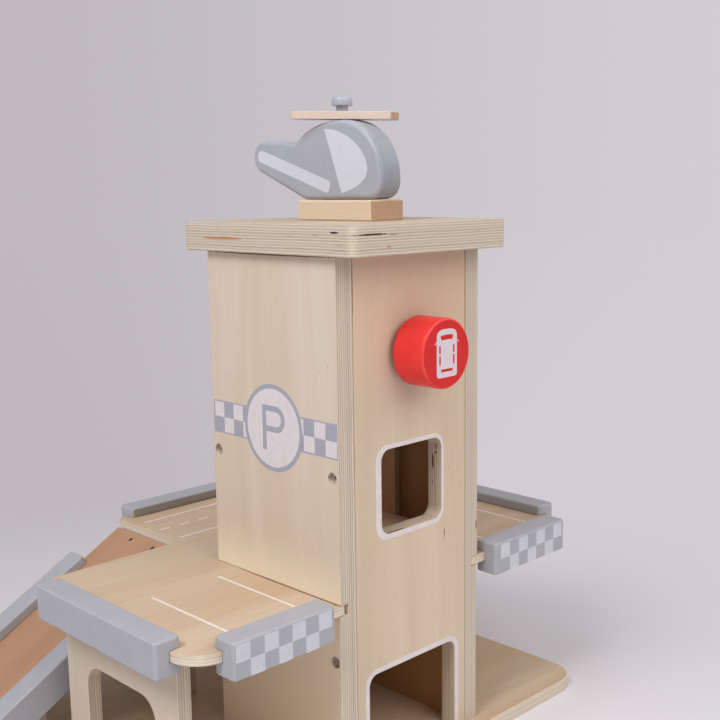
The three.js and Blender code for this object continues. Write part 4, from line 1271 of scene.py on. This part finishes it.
door = {"left": 22.0, "right": 98.0, "sill": -110.0, "high": -50.0, "radius": 6.5, "lip": 0.35, "line": 3.2}


def doorLoop(reach, radius):
    left, right, high = door["left"] - reach, door["right"] + reach, door["high"] + reach
    top = arc(right - radius, high - radius, radius, 0, 90, 8)
    top += arc(left + radius, high - radius, radius, 90, 180, 8)
    return [(right, door["sill"] + 1)] + top + [(left, door["sill"] + 1)]


doorRing = doorLoop(door["lip"] + door["line"], door["radius"] + door["line"])
doorRing += doorLoop(door["lip"], door["radius"] + door["lip"])[::-1]
printOn("door_ring", [doorRing], 2, faceFront, ringWhite, "front_ply")

# Checker squares on the front kerbs
checkers = {"size": 9.5, "top": 5.3, "rightStart": 133.3, "leftEnd": -15.6, "columns": 7, "frontFace": -8.9}
starts = {
    "checkers_right": checkers["rightStart"],
    "checkers_left": checkers["leftEnd"] - checkers["columns"] * checkers["size"],
}
square = (checkers["size"], checkers["size"])
half = checkers["size"] / 2
for name, startX in starts.items():
    place = at(startX + half, checkers["frontFace"], checkers["top"] - half) @ faceFront
    tileRows(name, (checkers["columns"], 2), square, square, 1.0, place, kerbPale, "grey_paint")

# Lines on the deck: lane edges, lane dashes and bay lines
lines = {"width": 1.7, "corner": 0.3, "bayFront": 18.0, "bayBack": 90.0}
lane = {"back": 215.5, "middle": 193.0, "front": 169.4, "start": 10.1, "backLater": 1.8, "end": 205.0}
dashes = {"length": 7.8, "pitch": 16.4, "count": 12}
bays = {"bay_line_1": -66.0, "bay_line_2": -18.1, "bay_line_3": 148.8, "bay_line_4": 196.8}
half = lines["width"] / 2
backStart = lane["start"] + lane["backLater"]
deckLines = {
    "lane_line_back": (backStart, lane["back"] - half, lane["end"], lane["back"] + half),
    "lane_line_front": (lane["start"], lane["front"] - half, lane["end"], lane["front"] + half),
}
for name, x in bays.items():
    deckLines[name] = (x - half, lines["bayFront"], x + half, lines["bayBack"])
for name, box in deckLines.items():
    printOn(name, [roundedBox(*box, lines["corner"], 3)], 2, Matrix(), lineWhite, "deck_ply")
dashPitch = (dashes["pitch"], dashes["pitch"])
dash = (dashes["length"], lines["width"])
place = at(lane["start"] + dashes["length"] / 2, lane["middle"], inkStep / 2)
tileRows("lane_dashes", (dashes["count"], 1), dashPitch, dash, 0.0, place, lineWhite, "deck_ply")
print("prints ready")

# Screws in the side panels and under the base
screws = {"sink": 2.4, "frontIn": 5.5, "backIn": 109.0, "upper": 73.3, "lower": -35.0, "baseInset": 24.0}
screwSizes = {
    "Head Radius": 3.2,
    "Head Height": 2.4,
    "Shank Radius": 1.6,
    "Length": 25.0,
    "Slot Width": 0.8,
    "Slot Length": 3.4,
    "Slot Depth": 1.1,
    "Seed": 4,
    "Material": screwSteel,
}


def driveScrews(name, seats):
    mesh = grownMesh(screwTree, screwSizes, points=list(seats.values()))
    finishPiece(name, mesh, screwSteel, "root", "steel", list(seats))


for sideName, outward, face in (("left", -1, 0.0), ("right", 1, tower["width"])):
    seats = {}
    for rowName in ("upper", "lower"):
        for endName, back in (("front", screws["frontIn"]), ("back", screws["backIn"])):
            seat = (face - outward * screws["sink"], back, screws[rowName])
            seats[f"screw_{sideName}_{rowName}_{endName}"] = (seat, (outward, 0, 0))
    driveScrews(f"panel_screws_{sideName}", seats)
seats = {}
for sideName, x in (("left", tower["board"] / 2), ("right", tower["width"] - tower["board"] / 2)):
    for endName, back in (("front", screws["baseInset"]), ("back", tower["depth"] - screws["baseInset"])):
        seats[f"base_screw_{sideName}_{endName}"] = ((x, back, ground + screws["sink"]), (0, 0, -1))
driveScrews("base_screws", seats)

# Knob with its sign, and the works behind it
knob = {
    "x": 60.0,
    "height": 140.0,
    "radius": 20.4,
    "back": -3.4,
    "length": 23.4,
    "frontRound": 1.9,
    "backRound": 1.6,
    "bore": 4.3,
    "boreDepth": 12.0,
}
knobFront = knob["back"] - knob["length"]
boreEnd = knob["back"] - knob["boreDepth"]
knobPlace = at(knob["x"], 0, knob["height"]) @ alongBack
profile = [(0, knobFront)]
profile += quarter(knob["radius"], knobFront + knob["frontRound"], knob["frontRound"], -90, 8)
profile += quarter(knob["radius"], knob["back"] - knob["backRound"], knob["backRound"], 0, 6)
profile += [(knob["bore"], knob["back"]), (knob["bore"], boreEnd), (0, boreEnd)]
mesh = meshFrom(turnedShape(profile, 128), knobPlace)
finishPiece("knob_turned", mesh, knobPaint, "knob", "red_paint", ["lift_knob"])

carSign = {
    "half": 8.6,
    "low": -13.3,
    "high": 14.3,
    "eaves": 0.2,
    "shoulder": 9.6,
    "corner": 2.0,
    "screenTop": (5.6, 10.5, 11.1),
    "screenFoot": (4.6, 8.0, 8.15),
    "rear": (-5.0, -10.15, 5.0, -8.5),
    "slots": [(-6.6, 0.5, -5.2, 5.0), (-6.6, -6.1, -5.2, -0.8), (5.2, 0.5, 6.6, 5.0), (5.2, -6.1, 6.6, -0.8)],
    "mirror": [(8.5, 7.8), (8.5, 7.1), (9.4, 6.5), (10.1, 5.7), (10.4, 6.0), (9.6, 7.0)],
}


def mirrored(points):
    return [(-x, y) for x, y in points][::-1]


# A bowed line from one side to the other, through a middle height
def bow(side, height, middle):
    return [(-side, height)] + bezier([(-side, height), (0, 2 * middle - height), (side, height)], 8)


signHalf, signHigh, shoulder = carSign["half"], carSign["high"], carSign["shoulder"]
corner = carSign["corner"]
lowCorner = arc(signHalf - corner, carSign["low"] + corner, corner, -90, 0, 6)
roofCorner = (signHalf, signHigh - carSign["eaves"])
upperHandles = [(signHalf, shoulder), roofCorner, (signHalf / 2, signHigh), (0, signHigh)]
rightSide = lowCorner + [(signHalf, shoulder)] + bezier(upperHandles, 12)
outline = rightSide + mirrored(rightSide)[1:]
footSide, footHeight, footMiddle = carSign["screenFoot"]
screen = bow(*carSign["screenTop"]) + bow(-footSide, footHeight, footMiddle)
openings = [screen, roundedBox(*carSign["rear"], 0)] + [roundedBox(*box, 0.3, 3) for box in carSign["slots"]]
signOnKnob = at(knob["x"], knobFront, knob["height"]) @ faceFront
printOn("knob_car", [outline] + openings, 2, signOnKnob, knobSign, "red_paint", "knob")
for sideName, mirror in (("right", carSign["mirror"]), ("left", mirrored(carSign["mirror"]))):
    printOn(f"knob_car_mirror_{sideName}", [mirror], 2, signOnKnob, knobSign, "red_paint", "knob")

for node, edge in {"knob_shaft": 0.3, "shaft_collar": 0.4, "cord_drum": 0.5}.items():
    dressNode(node, innerBeech, "knob", "beech", edge)
coatMesh(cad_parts["knob_washer"].data, washerFelt)

# Cord: turns on the drum, the hanging length and its knot under the hanger
cord = {"radius": 0.9, "drumBack": 70.0, "windingRadius": 8.15, "turns": 4.2, "pitch": 1.82, "sharpest": 60}
strand = {"count": 3, "share": 0.5, "twist": 0.9, "steps": 200, "foot": 0.3, "sides": 8}
knot = {"points": 72, "reach": 0.56, "radius": 0.8, "sides": 10}
width = cord["turns"] * cord["pitch"]
winding = {
    "Turns": cord["turns"],
    "Radius": cord["windingRadius"],
    "Cord Radius": cord["radius"],
    "Width": width,
    "Material": cordCotton,
}
place = at(knob["x"], cord["drumBack"], knob["height"]) @ alongBack @ at(0, 0, -width / 2)
mesh = grownMesh(turnTree, winding, place)
finishPiece("cord_turns", mesh, cordCotton, "knob", "cord", ["cord_winding"], sharpest=cord["sharpest"])


def tubeShape(shape, points, radius, sides, closed):
    rings = []
    for number, point in enumerate(points):
        before = points[number - 1] if closed or number else point
        after = points[(number + 1) % len(points)] if closed or number + 1 < len(points) else point
        along = (after - before).normalized()
        side = side - along * side.dot(along) if rings else along.orthogonal()
        side.normalize()
        up = along.cross(side)
        ring = []
        for step in range(sides):
            angle = 2 * math.pi * step / sides
            ring.append(shape.verts.new(point + radius * (side * math.cos(angle) + up * math.sin(angle))))
        rings.append(ring)
    joinRings(shape, rings + rings[:1] if closed else rings, sides)
    if not closed:
        shape.faces.new(rings[0][::-1])
        shape.faces.new(rings[-1])
    bmesh.ops.recalc_face_normals(shape, faces=shape.faces[:])


cordLow, cordHigh = boxOf("lift_cord")
cordX = (cordLow.x + cordHigh.x) / 2
cordY = (cordLow.y + cordHigh.y) / 2
strandRadius = cord["radius"] * strand["share"]
reach = cord["radius"] - strandRadius
shape = bmesh.new()
for number in range(strand["count"]):
    points = []
    for step in range(strand["steps"] + 1):
        z = cordLow.z + strand["foot"] + (cordHigh.z - cordLow.z - strand["foot"]) * step / strand["steps"]
        angle = 2 * math.pi * number / strand["count"] + strand["twist"] * (z - cordLow.z)
        points.append(Vector((cordX + reach * math.cos(angle), cordY + reach * math.sin(angle), z)))
    tubeShape(shape, points, strandRadius, strand["sides"], False)
mesh = meshFrom(shape)
hangingSettings = {"body": None, "slot": "cord", "sharpest": cord["sharpest"]}
cordPiece = finishPiece("cord_hanging", mesh, cordCotton, replaced=["lift_cord"], **hangingSettings)
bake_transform(cordPiece)

knotLow, knotHigh = boxOf("cord_knot")
knotMiddle = (knotLow + knotHigh) / 2
points = []
for step in range(knot["points"]):
    t = 2 * math.pi * step / knot["points"]
    across = (math.sin(t) + 2 * math.sin(2 * t), math.cos(t) - 2 * math.cos(2 * t))
    points.append(knotMiddle + knot["reach"] * Vector((*across, -1.5 * math.sin(3 * t))))
shape = bmesh.new()
tubeShape(shape, points, knot["radius"], knot["sides"], True)
mesh = meshFrom(shape)
finishPiece("cord_knot_tied", mesh, cordCotton, "lift", "cord", ["cord_knot"], sharpest=cord["sharpest"])
print("lift works ready")

# Helicopter: block, body with its printed window and stripe, pin and rotor
helicopter = {
    "x": 60.0,
    "roof": 214.0,
    "floor": 12.5,
    "thickness": 17.5,
    "edge": 3.0,
    "edgeSteps": 6,
    "bevelAbove": 60,
    "sharpest": 45,
    "canopy": (49.7, 24.1, 35.0),
    "bellyFront": 27.0,
    "bellyBack": 82.0,
    "tail": (120.1, 39.3, 10.4),
    "tailTop": (99.0, 48.2),
    "notch": (90.8, 45.9),
    "humpRuns": (0.18, 0.5),
    "humpRise": 0.62,
}


def bodyOutline():
    floor = helicopter["floor"]
    cy, cz, radius = helicopter["canopy"]
    ty, tz, tailRadius = helicopter["tail"]
    front, back = helicopter["bellyFront"], helicopter["bellyBack"]
    under = math.degrees(math.atan2(tz - tailRadius - floor, ty - back))
    points = [(front, floor), (back, floor)]
    points += arc(ty, tz, tailRadius, under - 90, 90, 28)
    tailTop, notch = helicopter["tailTop"], helicopter["notch"]
    points.append(tailTop)
    points += bezier([tailTop, ((tailTop[0] + notch[0]) / 2, tailTop[1]), notch], 8)
    top = cz + radius
    run, rise = notch[0] - cy, top - notch[1]
    first = (notch[0] - helicopter["humpRuns"][0] * run, notch[1] + helicopter["humpRise"] * rise)
    second = (cy + helicopter["humpRuns"][1] * run, top)
    points += bezier([notch, first, second, (cy, top)], 24)
    points += arc(cy, cz, radius, 90, 180, 32)[1:]
    points += bezier([(cy - radius, cz), (cy - radius, floor), (front, floor)], 14)[:-1]
    return points


pin = {"back": 55.6, "radius": 3.6, "foot": 47.45, "seat": 3.95, "seatPlay": 0.35, "seatTop": 64.0}
pinCap = {"low": 67.7, "radius": 6.3, "side": 2.4, "height": 7.2, "rim": 0.6, "steps": 12}
bodyShape = slab([bodyOutline()], -helicopter["thickness"] / 2, helicopter["thickness"] / 2)
bodyPlace = at(helicopter["x"], 0, helicopter["roof"]) @ faceRight
bodyBar = linkObject("bar", meshFrom(bodyShape, bodyPlace))
bodyBevel = addBevel(bodyBar, helicopter["edge"], helicopter["edgeSteps"], helicopter["bevelAbove"])
bodyBevel.use_clamp_overlap = False
seatFoot = pin["foot"] - pin["seatPlay"]
seatProfile = (0.0, seatFoot), (pin["seat"], seatFoot), (pin["seat"], pin["seatTop"]), (0.0, pin["seatTop"])
seatPlace = at(helicopter["x"], pin["back"], helicopter["roof"])
seatCutter = linkObject("seat", meshFrom(turnedShape(seatProfile, 48), seatPlace))
mesh = cutAway(bodyBar, seatCutter, "body")
greySettings = {"body": "helicopter", "slot": "grey_paint", "sharpest": helicopter["sharpest"]}
finishPiece("helicopter_body_shaped", mesh, helicopterPaint, replaced=["helicopter_body"], **greySettings)
dressNode("helicopter_block", blockBeech, "helicopter", "beech", 0.25)

capProfile = [(0, pin["foot"]), (pin["radius"], pin["foot"]), (pin["radius"], pinCap["low"])]
capProfile += quarter(pinCap["radius"], pinCap["low"] + pinCap["rim"], pinCap["rim"], -90, 4)
for step in range(pinCap["steps"]):
    angle = math.radians(90 * step / pinCap["steps"])
    rise = pinCap["side"] + (pinCap["height"] - pinCap["side"]) * math.sin(angle)
    capProfile.append((pinCap["radius"] * math.cos(angle), pinCap["low"] + rise))
capProfile.append((0, pinCap["low"] + pinCap["height"]))
mesh = meshFrom(turnedShape(capProfile, 64), seatPlace)
finishPiece("rotor_pin_turned", mesh, pinPaint, replaced=["rotor_pin"], **greySettings)

rotor = {"length": 66.0, "width": 14.5, "thickness": 4.7, "corner": 2.6, "shift": 1.1, "bore": 4.1}
rotorEdge = {"edge": 0.45, "edgeSteps": 3}
halfWidth, halfLength, shift = rotor["width"] / 2, rotor["length"] / 2, rotor["shift"]
blade = roundedBox(-halfWidth, -halfLength - shift, halfWidth, halfLength - shift, rotor["corner"])
bladeShape = slab([blade, circle(rotor["bore"], 48)], 0, rotor["thickness"])
mesh = meshFrom(bladeShape, rotorPlace)
finishPiece("rotor_blade_dressed", mesh, rotorBeech, "rotor", "beech", ["rotor_blade"], **rotorEdge)

stripeSizes = {"tail": (121.3, 39.6), "length": 66.0, "half": 3.75, "corner": 2.4, "turn": 17.7}
sideWindow = {
    "top": (62.3, 54.1),
    "foot": (48.0, 16.2),
    "front": (26.2, 30.6),
    "upperHandles": [(47.5, 54.6), (27.5, 43.5)],
    "lowerHandles": [(26.0, 23.5), (35.0, 19.0)],
}
decalHalf = 0.06
stripeHalf, corner = stripeSizes["half"], stripeSizes["corner"]
straight = arc(0, 0, stripeHalf, -90, 90, 16)
straight += arc(corner - stripeSizes["length"], stripeHalf - corner, corner, 90, 180, 6)
straight += arc(corner - stripeSizes["length"], corner - stripeHalf, corner, 180, 270, 6)
stripeTurn = math.radians(stripeSizes["turn"])
tailY, tailZ = stripeSizes["tail"]
stripe = []
for x, y in straight:
    turnedX = x * math.cos(stripeTurn) - y * math.sin(stripeTurn)
    stripe.append((tailY + turnedX, tailZ + x * math.sin(stripeTurn) + y * math.cos(stripeTurn)))
upperCurve = [sideWindow["top"], *sideWindow["upperHandles"], sideWindow["front"]]
lowerCurve = [sideWindow["front"], *sideWindow["lowerHandles"], sideWindow["foot"]]
windowOutline = [sideWindow["top"]] + bezier(upperCurve, 20) + bezier(lowerCurve, 16)
for sideName, side in (("left", -1), ("right", 1)):
    face = side * helicopter["thickness"] / 2
    place = at(helicopter["x"] + face, 0, helicopter["roof"]) @ faceRight
    for partName, outlinePoints in (("stripe", stripe), ("window", windowOutline)):
        mesh = meshFrom(slab([outlinePoints], -decalHalf, decalHalf), place)
        finishPiece(f"helicopter_{partName}_{sideName}", mesh, decalPale, "helicopter", "grey_paint")
print("helicopter ready")

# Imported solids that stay: hidden dowels and the ramp's nails
for endName in ("front", "back"):
    for sideName in ("left", "right"):
        coatMesh(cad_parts[f"roof_dowel_{sideName}_{endName}"].data, dowelBeech)
    coatMesh(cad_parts[f"ramp_nail_{endName}"].data, nailSteel)

# Floor, light and camera. The view's turn from the toy's front is shared by the backdrop and the camera.
studio = {
    "floorReach": 6.0,
    "floor": (226, 221, 225),
    "floorRough": 0.9,
    "floorGloss": 0.1,
    "fadeStart": 0.18,
    "fadeEnd": 0.6,
    "backdropLeft": (191, 185, 191),
    "backdropRight": (210, 205, 209),
    "spread": 0.36,
    "worldTint": (0.97, 0.97, 1.0, 1.0),
    "worldLight": 0.31,
    "aim": (0.0, -0.05, 0.2),
}
lamps = {
    "left_softbox": {"at": (-1.25, -0.2, 1.66), "size": 0.85, "power": 23.8, "tint": (0.985, 0.995, 1.015)},
    "front_softbox": {"at": (-0.02, -1.78, 1.6), "size": 1.6, "power": 19.4, "tint": (1.0, 0.985, 0.97)},
    "right_softbox": {"at": (1.15, -0.9, 1.35), "size": 1.2, "power": 5.6, "tint": (1.0, 0.99, 0.985)},
}
view = {"azimuth": 44.44, "pitch": 9.04, "roll": -0.79, "at": (-0.41657, -0.53527, 0.35258), "lens": 54.3}
sensorWidth = 36.0
nearClip = 0.01
azimuth, pitch, roll = (math.radians(view[name]) for name in ("azimuth", "pitch", "roll"))
toRight = Vector((math.cos(azimuth), -math.sin(azimuth), 0))


# Painted light on the backdrop: the glow it shows is a little lighter on the right
def backdropTone(tree, direction):
    sideways = vectorCalc(tree, "DOT_PRODUCT", vectorCalc(tree, "NORMALIZE", direction), toRight)
    share = remap(tree, sideways, -studio["spread"], studio["spread"])
    return between(tree, share, studio, "backdropLeft", "backdropRight")


# The camera and glossy paint see the second shader, by a share, and all other light the first
def seenApart(tree, share, first, second):
    rays = addNode(tree, "ShaderNodeLightPath").outputs
    seen = calc(tree, "MAXIMUM", rays["Is Camera Ray"], rays["Is Glossy Ray"])
    sockets = {0: times(tree, share, seen), 1: first.outputs[0], 2: second.outputs[0]}
    return addNode(tree, "ShaderNodeMixShader", sockets).outputs[0]


far = studio["floorReach"]
floorMesh = bpy.data.meshes.new("floor")
floorMesh.from_pydata([(-far, -far, 0), (far, -far, 0), (far, far, 0), (-far, far, 0)], [], [(0, 1, 2, 3)])
floor = linkObject("floor", floorMesh)
floorMaterial, tree, shader = newMaterial("floor_paper")
where = addNode(tree, "ShaderNodeTexCoord").outputs["Object"]
shader.inputs["Base Color"].default_value = colour(*studio["floor"])
shader.inputs["Roughness"].default_value = studio["floorRough"]
shader.inputs["Specular IOR Level"].default_value = studio["floorGloss"]
glow = addNode(tree, "ShaderNodeEmission", {"Color": backdropTone(tree, where), "Strength": 1.0})
fade = remap(tree, vectorCalc(tree, "LENGTH", where), studio["fadeStart"], studio["fadeEnd"])
output = next(node for node in tree.nodes if node.type == "OUTPUT_MATERIAL")
tree.links.new(seenApart(tree, fade, shader, glow), output.inputs["Surface"])
coatMesh(floorMesh, floorMaterial)

world = bpy.data.worlds.new("studio")
bpy.context.scene.world = world
world.use_nodes = True
tree = world.node_tree
tree.nodes.clear()
lit = addNode(tree, "ShaderNodeBackground", {"Color": studio["worldTint"], "Strength": studio["worldLight"]})
direction = addNode(tree, "ShaderNodeTexCoord").outputs["Generated"]
shown = addNode(tree, "ShaderNodeBackground", {"Color": backdropTone(tree, direction), "Strength": 1.0})
addNode(tree, "ShaderNodeOutputWorld", {"Surface": seenApart(tree, 1.0, lit, shown)})

for name, lamp in lamps.items():
    light = bpy.data.lights.new(name, "AREA")
    light.shape = "SQUARE"
    light.size = lamp["size"]
    light.energy = lamp["power"]
    light.color = lamp["tint"]
    softbox = linkObject(name, light)
    softbox.location = lamp["at"]
    towards = Vector(studio["aim"]) - Vector(lamp["at"])
    softbox.rotation_euler = towards.to_track_quat("-Z", "Y").to_euler()

forward = Vector((math.sin(azimuth) * math.cos(pitch), math.cos(azimuth) * math.cos(pitch), -math.sin(pitch)))
upright = toRight.cross(forward)
right = toRight * math.cos(roll) + upright * math.sin(roll)
up = upright * math.cos(roll) - toRight * math.sin(roll)
cameraData = bpy.data.cameras.new("camera")
cameraData.lens = view["lens"]
cameraData.sensor_width = sensorWidth
cameraData.sensor_fit = "HORIZONTAL"
cameraData.clip_start = nearClip
camera = linkObject("camera", cameraData)
camera.matrix_world = Matrix.Translation(view["at"]) @ Matrix((right, up, -forward)).transposed().to_4x4()
bpy.context.scene.camera = camera
bpy.context.scene.view_settings.view_transform = "Standard"
print("studio ready")
